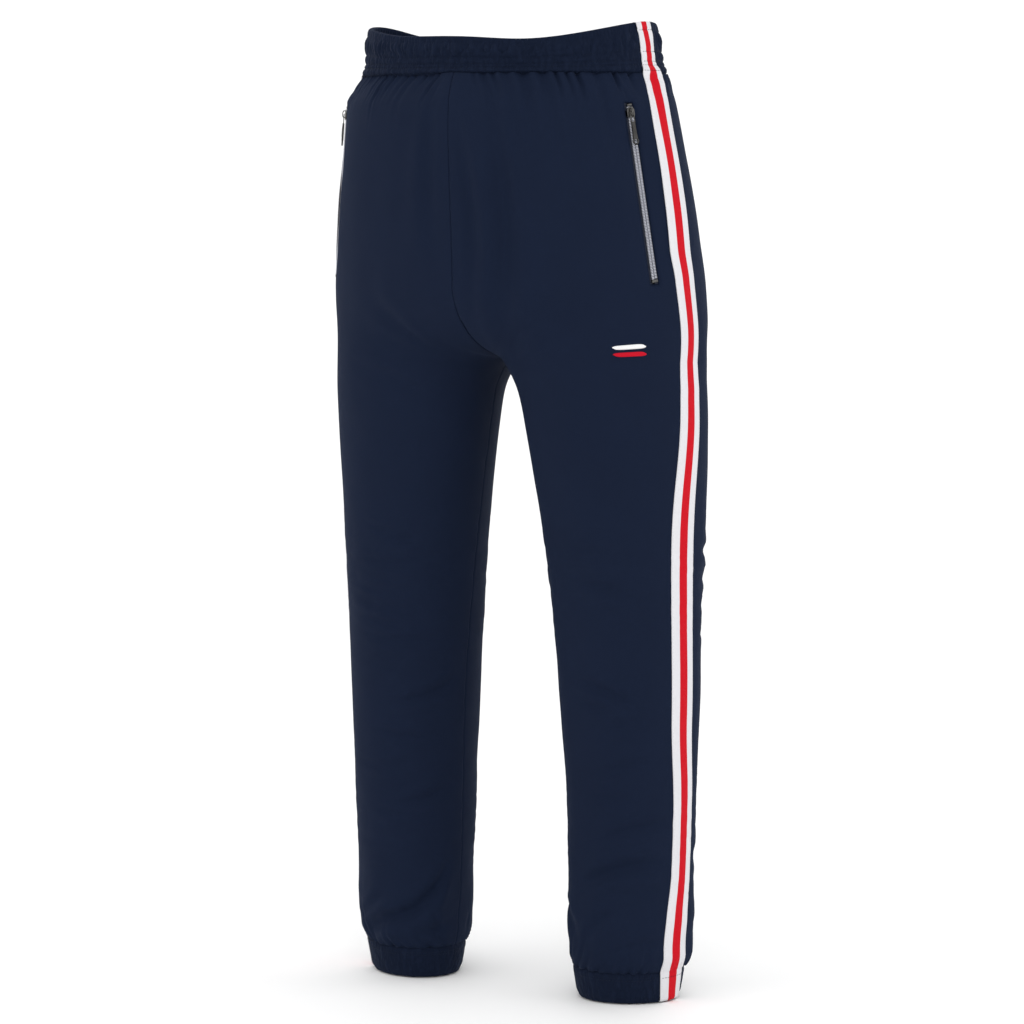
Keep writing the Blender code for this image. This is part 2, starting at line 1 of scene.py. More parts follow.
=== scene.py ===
import bpy
import numpy as np
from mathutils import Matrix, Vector


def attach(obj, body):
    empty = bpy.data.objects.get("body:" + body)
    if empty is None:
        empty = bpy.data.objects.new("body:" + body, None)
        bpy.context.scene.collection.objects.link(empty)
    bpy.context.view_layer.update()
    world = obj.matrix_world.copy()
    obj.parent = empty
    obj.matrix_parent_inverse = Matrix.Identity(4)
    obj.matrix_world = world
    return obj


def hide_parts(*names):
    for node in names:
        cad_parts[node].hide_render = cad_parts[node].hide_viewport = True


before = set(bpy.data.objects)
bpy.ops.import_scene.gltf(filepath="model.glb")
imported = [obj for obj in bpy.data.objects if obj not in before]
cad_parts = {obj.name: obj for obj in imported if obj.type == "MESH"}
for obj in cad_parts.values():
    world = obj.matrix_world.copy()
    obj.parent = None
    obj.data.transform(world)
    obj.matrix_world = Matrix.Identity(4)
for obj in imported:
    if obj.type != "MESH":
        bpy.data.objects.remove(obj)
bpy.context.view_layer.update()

# ---- Cloth panels ----
# Two fronts and two backs of navy brushed polyester knit, 0.9 mm thick, cut from waist to cuff and sewn together
# down the sides, the insides and the middle. They hang nearly smooth over the hips, and crease softly at the knees
# and where the spare length settles on each cuff.

crotch = 0.672
rise_curve = 0.081
zip_bottom, zip_top = 0.753, 0.936
yoke = 0.95398
waist_seam = 0.967
band_front, band_side, band_back = 0.038, 0.053, 0.043
outseam = waist_seam + band_side
cuff_top = 0.0335

leg_shares = np.array(
    [0.0, 0.0258, 0.0932, 0.2592, 0.4252, 0.5912, 0.7588, 0.8872, 0.9499, 0.9812, 1.0]
)
leg_height = np.concatenate([[0.0], cuff_top + leg_shares * (crotch - cuff_top)])
leg_centre_x = [0.1312, 0.1312, 0.1320, 0.1324, 0.1323, 0.1305, 0.1284, 0.1245, 0.1195, 0.1155, 0.1100, 0.1035]
leg_centre_y = [0.0194, 0.0194, 0.0194, 0.0193, 0.0204, 0.0195, 0.0158, 0.0124, 0.0090, 0.0070, 0.0065, 0.0065]
leg_long = [0.0545, 0.0560, 0.0605, 0.0635, 0.0665, 0.0714, 0.0773, 0.0858, 0.0940, 0.0970, 0.1000, 0.1045]
leg_short = [0.0470, 0.0490, 0.0560, 0.0600, 0.0652, 0.0695, 0.0730, 0.0780, 0.0840, 0.0880, 0.0930, 0.0980]
side_seam_turn = [12.0, 12.0, 11.0, 9.2, 9.3, 13.3, 13.6, 8.6, 2.5, 1.0, 0.5, 0.0]
inseam_turn = [10.0, 10.0, 10.0, 7.5, 8.5, 11.5, 7.0, 2.5, 0.5, 0.0, 0.0, 0.0]
leg_tilt = np.radians(30.0)

hip_height = [crotch, zip_bottom, zip_top, yoke, waist_seam, outseam]
hip_half_width = [0.2080, 0.2085, 0.1855, 0.1795, 0.1715, 0.1650]
hip_front = [0.1160, 0.1290, 0.1250, 0.1215, 0.1170, 0.1120]
hip_back = [0.1260, 0.1470, 0.1270, 0.1225, 0.1160, 0.1120]
hip_centre = [0.0065, 0.0060, -0.0050, -0.0025, 0.0005, -0.0040]
hip_seam_turn = [0.0, 4.0, 3.0, 2.5, 2.0, 0.0]
row_points = 97
seam_clearance = 0.00005
nearby = 0.002

zip_ahead_top, zip_ahead_bottom = 0.048, 0.043
slot_half, lip_width, lip_drop = 0.0046, 0.0018, 0.0021
slack = 0.0028
cloth_thick = 0.0009
left_and_right = ((1, "left"), (-1, "right"))


def eased(height, heights, values):
    """A value read from a table of sections, eased between its heights."""
    i = int(np.clip(np.searchsorted(heights, height, side="right") - 1, 0, len(heights) - 2))
    step = heights[i + 1] - heights[i]
    share = (height - heights[i]) / step
    slope = np.diff(values) / np.diff(heights)

    def knot(first, second):
        return 0.0 if first * second <= 0 else 2 * first * second / (first + second)

    start = knot(slope[max(i - 1, 0)], slope[i]) * step
    end = knot(slope[i], slope[min(i + 1, len(slope) - 1)]) * step
    s2, s3 = share**2, share**3
    rise = (2 * s3 - 3 * s2 + 1) * values[i] + (3 * s2 - 2 * s3) * values[i + 1]
    return rise + (s3 - 2 * s2 + share) * start + (s3 - s2) * end


def leg_half(height, way):
    """Half of the leg's section at a height, from the side seam to the inseam; `way` is -1 in front, 1 behind."""
    seam = -eased(height, leg_height, side_seam_turn)
    inseam = eased(height, leg_height, inseam_turn)
    turn = np.radians(np.linspace(seam, way * 180.0 + inseam, row_points)) - leg_tilt
    along = eased(height, leg_height, leg_long) * np.cos(turn)
    across = eased(height, leg_height, leg_short) * np.sin(turn)
    x = eased(height, leg_height, leg_centre_x) + along * np.cos(leg_tilt) - across * np.sin(leg_tilt)
    y = eased(height, leg_height, leg_centre_y) + along * np.sin(leg_tilt) + across * np.cos(leg_tilt)
    return np.stack([np.maximum(x, seam_clearance), y, np.full_like(x, height)], axis=1)


def hip_turns(height, way):
    return np.radians(np.linspace(-way * np.interp(height, hip_height, hip_seam_turn), 90.0, row_points))


def hip_half(height, way):
    """A quarter of the hip's section, from the side seam to the middle."""
    turn = hip_turns(height, way)
    front, back = eased(height, hip_height, hip_front), eased(height, hip_height, hip_back)
    depth = np.where(way * turn < 0, front, back)
    x = eased(height, hip_height, hip_half_width) * np.cos(turn)
    y = eased(height, hip_height, hip_centre) + way * depth * np.sin(turn)
    return np.stack([np.maximum(x, seam_clearance), y, np.full_like(x, height)], axis=1)


def rise_half(share, way):
    """A row of the curved crotch, which rises from the inseam to the straight seam of the middle."""
    outer = crotch + rise_curve * share
    inner = crotch + rise_curve * (1 - np.cos(share * np.pi / 2))
    blend = np.sin(share * np.pi / 2)
    points = leg_half(crotch, way) * (1 - blend) + hip_half(outer, way) * blend
    ease = np.linspace(0.0, 1.0, row_points)
    points[:, 2] = outer + (inner - outer) * ease * ease * (3 - 2 * ease)
    return points


def band_half(share, way):
    """A row of the waistband, from 0 at the waist seam to 1 at the top edge."""
    height = waist_seam + share * band_side
    points = hip_half(height, way)
    turn = hip_turns(height, way)
    middle = np.where(way * turn < 0, band_front, band_back)
    points[:, 2] = waist_seam + share * (middle + (band_side - middle) * np.cos(turn) ** 4)
    return points


def half_row(station, way):
    """The half row at a station, which is its height up the side seam from the hem."""
    if station <= crotch:
        points = leg_half(max(station, 0.0), way)
    elif station < crotch + rise_curve:
        points = rise_half((station - crotch) / rise_curve, way)
    elif station <= waist_seam:
        points = hip_half(station, way)
    else:
        points = band_half((station - waist_seam) / band_side, way)
    return points - np.array([0.0, 0.0, outseam])


def run_length(points):
    """How far along a run of points each one lies."""
    return np.concatenate([[0.0], np.cumsum(np.linalg.norm(np.diff(points, axis=0), axis=1))])


def whole_row(station):
    """A row of the left half, and how far ahead of the side seam each of its points lies."""
    back = half_row(station, 1)
    points = np.concatenate([back[::-1], half_row(station, -1)[1:]])
    length = run_length(points)
    return points, length - length[row_points - 1]


def on_row(row, aheads):
    points, ahead = row
    return np.stack([np.interp(aheads, ahead, points[:, i]) for i in range(3)], axis=-1)


def surface(stations, aheads):
    """Points of the left half's outer surface, one row for each station, and the normals that point out of it."""
    rows = [whole_row(s) for s in stations]
    grid = np.array([on_row(row, a) for row, a in zip(rows, aheads)])
    across = np.array([on_row(row, a + nearby) - on_row(row, a - nearby) for row, a in zip(rows, aheads)])
    normal = np.cross(np.gradient(grid, axis=0), across)
    return grid, normal / np.linalg.norm(normal, axis=2, keepdims=True)


def bell(distance, width):
    return np.exp(-((distance / width) ** 2))


def ramp(value, low, high):
    share = np.clip((value - low) / (high - low), 0.0, 1.0)
    return share * share * (3 - 2 * share)


def patchy(x, y, seed):
    """Smooth noise from -1 to 1 that changes over one unit in x and in y."""
    knots = np.random.default_rng(seed).uniform(-1.0, 1.0, (64, 64))
    x, y = np.asarray(x, float) + 7.3, np.asarray(y, float) + 5.1
    i, j = np.floor(x).astype(int), np.floor(y).astype(int)
    u, v = x - i, y - j
    u, v = u * u * (3 - 2 * u), v * v * (3 - 2 * v)
    low = knots[i % 64, j % 64] * (1 - u) + knots[(i + 1) % 64, j % 64] * u
    high = knots[i % 64, (j + 1) % 64] * (1 - u) + knots[(i + 1) % 64, (j + 1) % 64] * u
    return low * (1 - v) + high * v


def crease(station, ahead, start, end, width, depth, bow):
    """How far a crease between two places moves the cloth: a groove between two soft ridges."""
    run = np.subtract(end, start)
    length = np.hypot(*run)
    s, a = station - start[0], ahead - start[1]
    along = (s * run[0] + a * run[1]) / length**2
    across = (s * run[1] - a * run[0]) / length + bow * length * 4 * along * (1 - along)
    across = across / (width * (0.75 + 0.5 * np.clip(along, 0.0, 1.0)))
    fade = np.exp(-(np.abs(2 * along - 1) ** 3.5) * 0.9)
    ridges = 0.55 * bell(across - 1.6, 1.1) + 0.45 * bell(across + 1.6, 1.1)
    return depth * fade * (ridges - bell(across, 1.0))


# Each crease: where it starts and ends as (station, ahead), its half width, its depth and its bow
creases = {
    -1: [
        ((0.493, 0.100), (0.485, 0.152), 0.0060, 0.0013, 0.05),
        ((0.477, 0.120), (0.479, 0.150), 0.0045, 0.0018, -0.05),
        ((0.456, 0.085), (0.460, 0.168), 0.0060, 0.0017, 0.06),
        ((0.427, 0.075), (0.422, 0.130), 0.0055, 0.0015, 0.05),
        ((0.413, 0.064), (0.398, 0.140), 0.0065, 0.0020, -0.04),
        ((0.392, 0.090), (0.388, 0.128), 0.0050, 0.0013, 0.05),
        ((0.374, 0.084), (0.373, 0.176), 0.0060, 0.0016, 0.05),
        ((0.344, 0.080), (0.346, 0.120), 0.0055, 0.0009, 0.0),
        ((0.303, 0.112), (0.327, 0.182), 0.0060, 0.0025, 0.05),
        ((0.270, 0.095), (0.264, 0.148), 0.0060, 0.0018, 0.06),
        ((0.233, 0.066), (0.238, 0.130), 0.0060, 0.0014, 0.04),
        ((0.192, 0.105), (0.207, 0.168), 0.0055, 0.0020, 0.04),
        ((0.185, 0.085), (0.180, 0.122), 0.0050, 0.0013, 0.05),
        ((0.150, 0.060), (0.160, 0.120), 0.0070, 0.0010, 0.03),
        ((0.119, 0.158), (0.062, 0.092), 0.0075, 0.0048, -0.08),
        ((0.076, 0.114), (0.044, 0.046), 0.0070, 0.0036, 0.05),
        ((0.062, 0.040), (0.092, 0.084), 0.0060, 0.0018, 0.05),
        ((0.053, 0.116), (0.060, 0.158), 0.0050, 0.0018, 0.04),
        ((0.470, -0.050), (0.462, -0.150), 0.0080, 0.0030, 0.05),
        ((0.440, -0.070), (0.446, -0.160), 0.0075, 0.0026, -0.05),
        ((0.412, -0.040), (0.398, -0.120), 0.0075, 0.0024, 0.05),
        ((0.372, -0.080), (0.380, -0.150), 0.0070, 0.0016, 0.05),
        ((0.500, -0.090), (0.512, -0.170), 0.0075, 0.0018, 0.04),
        ((0.170, -0.040), (0.140, -0.110), 0.0080, 0.0026, 0.06),
        ((0.110, -0.050), (0.070, -0.130), 0.0080, 0.0036, -0.06),
        ((0.655, -0.150), (0.690, -0.060), 0.0110, 0.0030, 0.06),
        ((0.625, -0.160), (0.645, -0.070), 0.0100, 0.0018, 0.05),
        ((0.700, 0.205), (0.735, 0.150), 0.0080, 0.0018, 0.05),
        ((0.640, 0.190), (0.660, 0.120), 0.0090, 0.0012, 0.05),
        ((0.930, 0.222), (0.790, 0.240), 0.0110, 0.0030, 0.02),
    ],
    1: [
        ((0.444, 0.112), (0.431, 0.062), 0.0065, 0.0019, 0.05),
        ((0.480, 0.130), (0.474, 0.090), 0.0060, 0.0010, 0.05),
        ((0.342, 0.116), (0.314, 0.056), 0.0065, 0.0026, 0.06),
        ((0.318, 0.112), (0.309, 0.076), 0.0050, 0.0015, 0.05),
        ((0.290, 0.080), (0.302, 0.046), 0.0055, 0.0012, 0.05),
        ((0.248, 0.088), (0.257, 0.032), 0.0055, 0.0016, 0.05),
        ((0.222, 0.100), (0.214, 0.060), 0.0055, 0.0011, 0.04),
        ((0.178, 0.090), (0.192, 0.018), 0.0060, 0.0023, 0.05),
        ((0.130, 0.108), (0.149, 0.028), 0.0085, 0.0040, 0.07),
        ((0.066, 0.104), (0.102, 0.076), 0.0075, 0.0022, 0.05),
        ((0.060, 0.066), (0.068, 0.024), 0.0060, 0.0012, 0.05),
        ((0.102, 0.160), (0.072, 0.120), 0.0070, 0.0022, 0.05),
        ((0.476, -0.040), (0.466, -0.140), 0.0080, 0.0028, -0.05),
        ((0.446, -0.060), (0.452, -0.165), 0.0075, 0.0028, 0.05),
        ((0.416, -0.060), (0.404, -0.130), 0.0070, 0.0022, 0.05),
        ((0.386, -0.050), (0.392, -0.110), 0.0065, 0.0014, 0.05),
        ((0.508, -0.080), (0.520, -0.160), 0.0075, 0.0016, 0.04),
        ((0.180, -0.110), (0.150, -0.040), 0.0080, 0.0024, 0.06),
        ((0.120, -0.130), (0.076, -0.050), 0.0080, 0.0036, 0.06),
        ((0.652, -0.155), (0.688, -0.064), 0.0110, 0.0030, 0.05),
        ((0.622, -0.150), (0.640, -0.066), 0.0100, 0.0016, 0.05),
        ((0.698, 0.208), (0.738, 0.158), 0.0080, 0.0016, 0.05),
        ((0.930, 0.238), (0.740, 0.240), 0.0100, 0.0040, 0.02),
        ((0.905, 0.194), (0.705, 0.209), 0.0120, 0.0042, 0.02),
        ((0.860, 0.120), (0.760, 0.150), 0.0160, 0.0014, 0.05),
    ],
}


def waist_gathers(side, station, ahead):
    """Soft pleats that run down from the waist seam, where the cloth is gathered into the band."""
    rng = np.random.default_rng(40 + side)
    moved = np.zeros_like(ahead)
    place = -0.262
    while place < 0.262:
        reach = rng.uniform(0.008, 0.026)
        width, depth = rng.uniform(0.0018, 0.0034), rng.uniform(0.0016, 0.0044)
        if rng.uniform() < 0.3:
            reach, width, depth = 3.2 * reach, 2.2 * width, 0.8 * depth
        lean = rng.uniform(-0.06, 0.06)
        down = waist_seam - station
        across = ahead - place - lean * down
        groove = 0.7 * bell(across - 1.5 * width, width) + 0.5 * bell(across + 1.5 * width, width)
        moved += depth * (groove - bell(across, width)) * np.exp(-((np.maximum(down, 0.0) / reach) ** 1.6))
        place += rng.uniform(0.009, 0.021)
    return moved


def cuff_gathers(side, station, ahead):
    """Fuller pleats that stand up from the cuff, and the roll of spare length that settles on it."""
    rng = np.random.default_rng(70 + side)
    up = np.maximum(station - cuff_top, 0.0)
    uneven = patchy(ahead / 0.035, side * 3.0, 5)
    moved = 0.0032 * bell(up - 0.040, 0.036) + 0.0016 * uneven * bell(up - 0.016, 0.014)
    place = -0.19
    while place < 0.19:
        reach = rng.uniform(0.008, 0.034)
        width, depth = rng.uniform(0.0026, 0.0046), rng.uniform(0.0006, 0.0022)
        across = ahead - place - rng.uniform(-0.4, 0.4) * up
        groove = 0.6 * bell(across - 1.5 * width, width) + 0.5 * bell(across + 1.5 * width, width)
        moved = moved + depth * (groove - bell(across, width)) * np.exp(-((up / reach) ** 1.5))
        place += rng.uniform(0.009, 0.019)
    return moved


def zip_line(station):
    """How far ahead of the side seam the zip runs, and above it the line that it points along."""
    heights, aheads = [zip_bottom, zip_top, waist_seam], [zip_ahead_bottom, zip_ahead_top, 0.0575]
    return np.interp(station, heights, aheads)


def on_cloth(station, ahead):
    return on_row(whole_row(station), ahead)


zip_start = on_cloth(zip_top, zip_ahead_top)
zip_end = on_cloth(zip_bottom, zip_ahead_bottom)
zip_length = float(np.linalg.norm(zip_end - zip_start))
zip_down = (zip_end - zip_start) / zip_length
halfway, middle_ahead = (zip_top + zip_bottom) / 2, (zip_ahead_top + zip_ahead_bottom) / 2
rearward = on_cloth(halfway, middle_ahead - 0.005) - on_cloth(halfway, middle_ahead + 0.005)
zip_out = np.cross(zip_down, rearward)
zip_out *= np.sign(zip_out[0]) / np.linalg.norm(zip_out)
zip_back = np.cross(zip_down, zip_out)
zip_back *= np.sign(np.dot(zip_back, rearward))


def zip_sag(station):
    """How far the bowed cloth stands off the straight line of the zip, which pulls it flat."""
    inside = np.clip(station, zip_bottom, zip_top)
    middle = np.array([on_cloth(s, float(zip_line(s))) for s in np.ravel(inside)])
    off = ((middle - zip_start) @ zip_out).reshape(np.shape(station))
    fade = ramp(station, zip_bottom - 0.03, zip_bottom) * (1 - ramp(station, zip_top, zip_top + 0.02))
    return off * fade


def folds(side, station, ahead):
    """How far the cloth stands out from its plain surface at each point."""
    moved = 0.0009 * patchy(ahead / 0.060 + side, station / 0.085, 11)
    moved += 0.0005 * patchy(ahead / 0.026, station / 0.040 + side, 12)
    for start, end, width, depth, bow in creases[side]:
        moved += 1.2 * crease(station, ahead, start, end, width, depth, bow)
    moved -= (0.0028 if side > 0 else 0.0024 + slack) * bell(station - 0.965, 0.021)
    moved += 0.0028 * bell(ahead + 0.075, 0.060) * (1 - ramp(station, 0.72, 0.80))
    moved += 0.0050 * bell(ahead + 0.070, 0.055) * bell(station - 0.705, 0.034)
    crumple = np.abs(patchy(ahead / 0.026 + 0.3 * side, station / 0.0085, 31 + side)) ** 0.7
    at_knee, at_shin = bell(station - 0.440, 0.055), bell(station - 0.150, 0.110)
    moved += 0.0011 * (crumple - 0.5) * (at_knee + 0.6 * at_shin)
    moved += waist_gathers(side, station, ahead) + cuff_gathers(side, station, ahead)
    beside_zip = np.abs(ahead - zip_line(station))
    zipped = ramp(station, zip_bottom - 0.03, zip_bottom - 0.004)
    zipped = zipped * (1 - ramp(station, zip_top + 0.004, zip_top + 0.02))
    moved *= 1 - zipped * (1 - ramp(beside_zip, 0.009, 0.024))
    seat = ramp(station, 0.60, 0.68)
    moved *= 1 - 0.45 * (1 - ramp(np.abs(ahead), 0.015, 0.034)) * (1 - 0.3 * seat)
    return moved


def mesh_piece(name, points, faces, look, uv=None, side=1, smooth=True):
    """An object from points of the wearer's left, mirrored for the right, with its cloth coordinates."""
    points = np.asarray(points, float).reshape(-1, 3) * np.array([float(side), 1.0, 1.0])
    faces = [[int(i) for i in (face if side > 0 else face[::-1])] for face in faces]
    mesh = bpy.data.meshes.new(name)
    mesh.from_pydata(points.tolist(), [], faces)
    if uv is not None:
        corner = np.empty(len(mesh.loops), int)
        mesh.loops.foreach_get("vertex_index", corner)
        layer = mesh.uv_layers.new(name="cloth")
        layer.data.foreach_set("uv", np.asarray(uv, float).reshape(-1, 2)[corner].ravel())
    mesh.polygons.foreach_set("use_smooth", [smooth] * len(mesh.polygons))
    mesh.materials.append(look)
    made = bpy.data.objects.new(name, mesh)
    bpy.context.scene.collection.objects.link(made)
    return made


def grid_faces(rows, columns, closed=False, keep=None):
    """Quads of a grid, wound so that a panel of the wearer's left faces outwards."""
    r, c = np.meshgrid(np.arange(rows - 1), np.arange(columns if closed else columns - 1), indexing="ij")
    if keep is not None:
        r, c = r[keep], c[keep]
    after = (c + 1) % columns
    corners = [r * columns + c, (r + 1) * columns + c, (r + 1) * columns + after, r * columns + after]
    return np.stack(corners, axis=-1).reshape(-1, 4)


def thicken(piece, thickness):
    """Gives a skin the thickness of its cloth, inwards from its outer face."""
    solid = piece.modifiers.new("cloth thickness", "SOLIDIFY")
    solid.thickness = thickness
    solid.offset = -1.0
    return piece


def fitted(piece, body, node=None):
    """Fixes a piece to its body, and hides the plain solid that it stands for."""
    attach(piece, body)
    if node:
        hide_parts(node)
    return piece


class Shade:
    """An output of a shader tree. Sums on it add Math nodes, and `node` adds any other node."""

    def __init__(self, tree, socket=None):
        self.tree, self.socket = tree, socket

    def node(self, kind, settings=(), inputs=(), output=0):
        made = self.tree.nodes.new("ShaderNode" + kind)
        for name, value in dict(settings).items():
            if name == "stops":
                ends = made.color_ramp.elements
                for i, (place, colour) in enumerate(value):
                    stop = ends[i] if i < 2 else ends.new(place)
                    stop.position, stop.color = place, colour
            else:
                setattr(made, name, value)
        for name, value in dict(inputs).items():
            if isinstance(value, Shade):
                self.tree.links.new(value.socket, made.inputs[name])
            else:
                made.inputs[name].default_value = value
        return Shade(self.tree, made.outputs[output])

    def math(self, operation, *values):
        return self.node("Math", {"operation": operation}, enumerate((self, *values)))

    def __add__(self, other):
        return self.math("ADD", other)

    def __sub__(self, other):
        return self.math("SUBTRACT", other)

    def __rsub__(self, other):
        return self * -1.0 + other

    def __mul__(self, other):
        return self.math("MULTIPLY", other)

    def __truediv__(self, other):
        return self.math("DIVIDE", other)

    __radd__ = __add__
    __rmul__ = __mul__

    def mixed(self, first, second):
        """A colour that runs from the first to the second as this value runs from 0 to 1."""
        sides = {"Factor": self, 6: first, 7: second}
        return self.node("Mix", {"data_type": "RGBA"}, sides, 2)

    def cloth_place(self):
        """How far across and along its own cloth a point lies, in metres."""
        uv = self.node("UVMap", {"uv_map": "cloth"})
        return [self.node("SeparateXYZ", inputs={0: uv}, output=i) for i in (0, 1)]

    def noise(self, size, detail=2.0, rough=0.5):
        """Noise from 0 to 1 over the object's own space, with patches of about this size in metres."""
        place = self.node("TexCoord", output="Object")
        scale = {"Vector": place, "Scale": 1.0 / size, "Detail": detail, "Roughness": rough}
        return self.node("TexNoise", inputs=scale, output=0)


def grey(level):
    return (level, level, level, 1.0)


def new_look(name):
    look = bpy.data.materials.new(name)
    look.use_nodes = True
    return look, Shade(look.node_tree)


def set_look(look, colour, roughness, height=None, relief=0.0002, **fixed):
    """Links what varies to the look's shader, and sets the rest on its own sockets."""
    tree = look.node_tree
    shader = tree.nodes["Principled BSDF"]
    linked = {"Base Color": colour, "Roughness": roughness}
    if height is not None:
        bump = {"Height": height, "Distance": relief, "Strength": 1.0}
        linked["Normal"] = Shade(tree).node("Bump", inputs=bump)
    for name, value in linked.items():
        if isinstance(value, Shade):
            tree.links.new(value.socket, shader.inputs[name])
        else:
            shader.inputs[name].default_value = value
    for name, value in fixed.items():
        shader.inputs[name.replace("_", " ")].default_value = value
    return look


def grained(name, dark, light, grain, gloss, relief, **fixed):
    """An even finish: `grain` is its noise, and `gloss` its least roughness and how much the grain adds."""
    look, shade = new_look(name)
    grain = shade.noise(*grain)
    height = grain if relief else None
    return set_look(look, grain.mixed(dark, light), gloss[0] + grain * gloss[1], height, relief, **fixed)


def knit_height(shade, wale, course):
    """The face of a knit: columns of small V-shaped loops."""
    across, along = shade.cloth_place()
    leg = (across / wale).math("PINGPONG", 0.5) * 2.0
    loop = ((along / course + leg * 0.6) * (2 * np.pi)).math("SINE")
    return leg * 0.55 + loop * 0.25 + 0.25


def navy_knit(name, dark, light, wale=0.0011, course=0.0009, crinkle=0.0):
    """Brushed navy knit; a crinkle adds the small crushed folds of elasticated cloth, and painted shade that
    darkens the colour along their creases.
    """
    look, shade = new_look(name)
    knit = knit_height(shade, wale, course)
    fuzz = shade.noise(0.0016, 3.0, 0.6)
    worn = shade.noise(0.070, 3.0, 0.55)
    tone = fuzz * 0.35 + worn * 0.40 + knit * 0.25
    height = (knit * 0.7 + fuzz * 0.6) * 0.00016
    if crinkle:
        across, along = shade.cloth_place()
        place = shade.node("CombineXYZ", inputs={0: across / 0.0075, 1: along / 0.024})
        crushed = shade.node("TexNoise", inputs={"Vector": place, "Scale": 1.0, "Detail": 2.0})
        crushed = ((crushed - 0.5).math("ABSOLUTE") * 5.0).math("MINIMUM", 1.0)
        height = height + crushed * crinkle
        # Painted shade: the colour is darkened along the crushed creases, where shade would fall.
        tone = tone * 0.7 + crushed * 0.4 - 0.1
    roughness = 0.72 + fuzz * 0.14 + worn * 0.06
    return set_look(
        look,
        tone.mixed(dark, light),
        roughness,
        height,
        1.0,
        Sheen_Weight=0.03,
        Sheen_Roughness=0.45,
        Sheen_Tint=(0.30, 0.45, 0.95, 1.0),
        Specular_IOR_Level=0.06,
    )


navy_cloth = navy_knit(
    "navy brushed knit", (0.0040, 0.0076, 0.0200, 1.0), (0.0074, 0.0128, 0.0310, 1.0)
)

leg_step = 0.0030
leg_stations = np.linspace(cuff_top + 0.0003, crotch, int((crotch - cuff_top) / leg_step))
rise_stations = crotch + rise_curve * np.linspace(0.0, 1.0, 24)[1:]
slot_stations = np.linspace(zip_bottom, zip_top, 52)[1:]
top_stations = np.linspace(zip_top, waist_seam - 0.0002, 15)[1:]
panel_stations = np.concatenate([leg_stations, rise_stations, slot_stations, top_stations])
edge_steps = np.array([0.0, 0.0006, 0.0013, 0.0021, 0.0032, 0.0048])
hem_curl = 0.0012
cuff_flare, waist_flare = 0.0030, 0.0030
cuff_flare_reach, waist_flare_reach = 0.030, 0.022


def back_columns(station):
    start = whole_row(station)[1][0] + seam_clearance
    return np.concatenate([start + edge_steps, np.linspace(start + 0.0075, -seam_clearance, 120)])


def front_columns(station):
    """Columns of a front panel, close together beside the zip's slot and the seam of the middle."""
    end = whole_row(station)[1][-1] - seam_clearance
    line = float(zip_line(station))
    rear = np.linspace(seam_clearance, line - slot_half - 0.0055, 17)
    slot = np.array([-slot_half - 0.0030, -slot_half - 0.0012, -slot_half, -0.0032, -0.0016, 0.0])
    slot = line + slot
    slot = np.concatenate([slot, 2 * line - slot[:-1][::-1]])
    front = np.linspace(line + slot_half + 0.0058, end - 0.0075, 96)
    columns = np.concatenate([rear, slot, front, end - edge_steps[::-1]])
    narrow = min(1.0, (end - 0.02) / 0.17)
    near = 1 - ramp(columns, line + 0.010, line + 0.045)
    return columns * (near * narrow + (1 - near)) if narrow < 1 else columns


slot_columns = slice(19, 25)

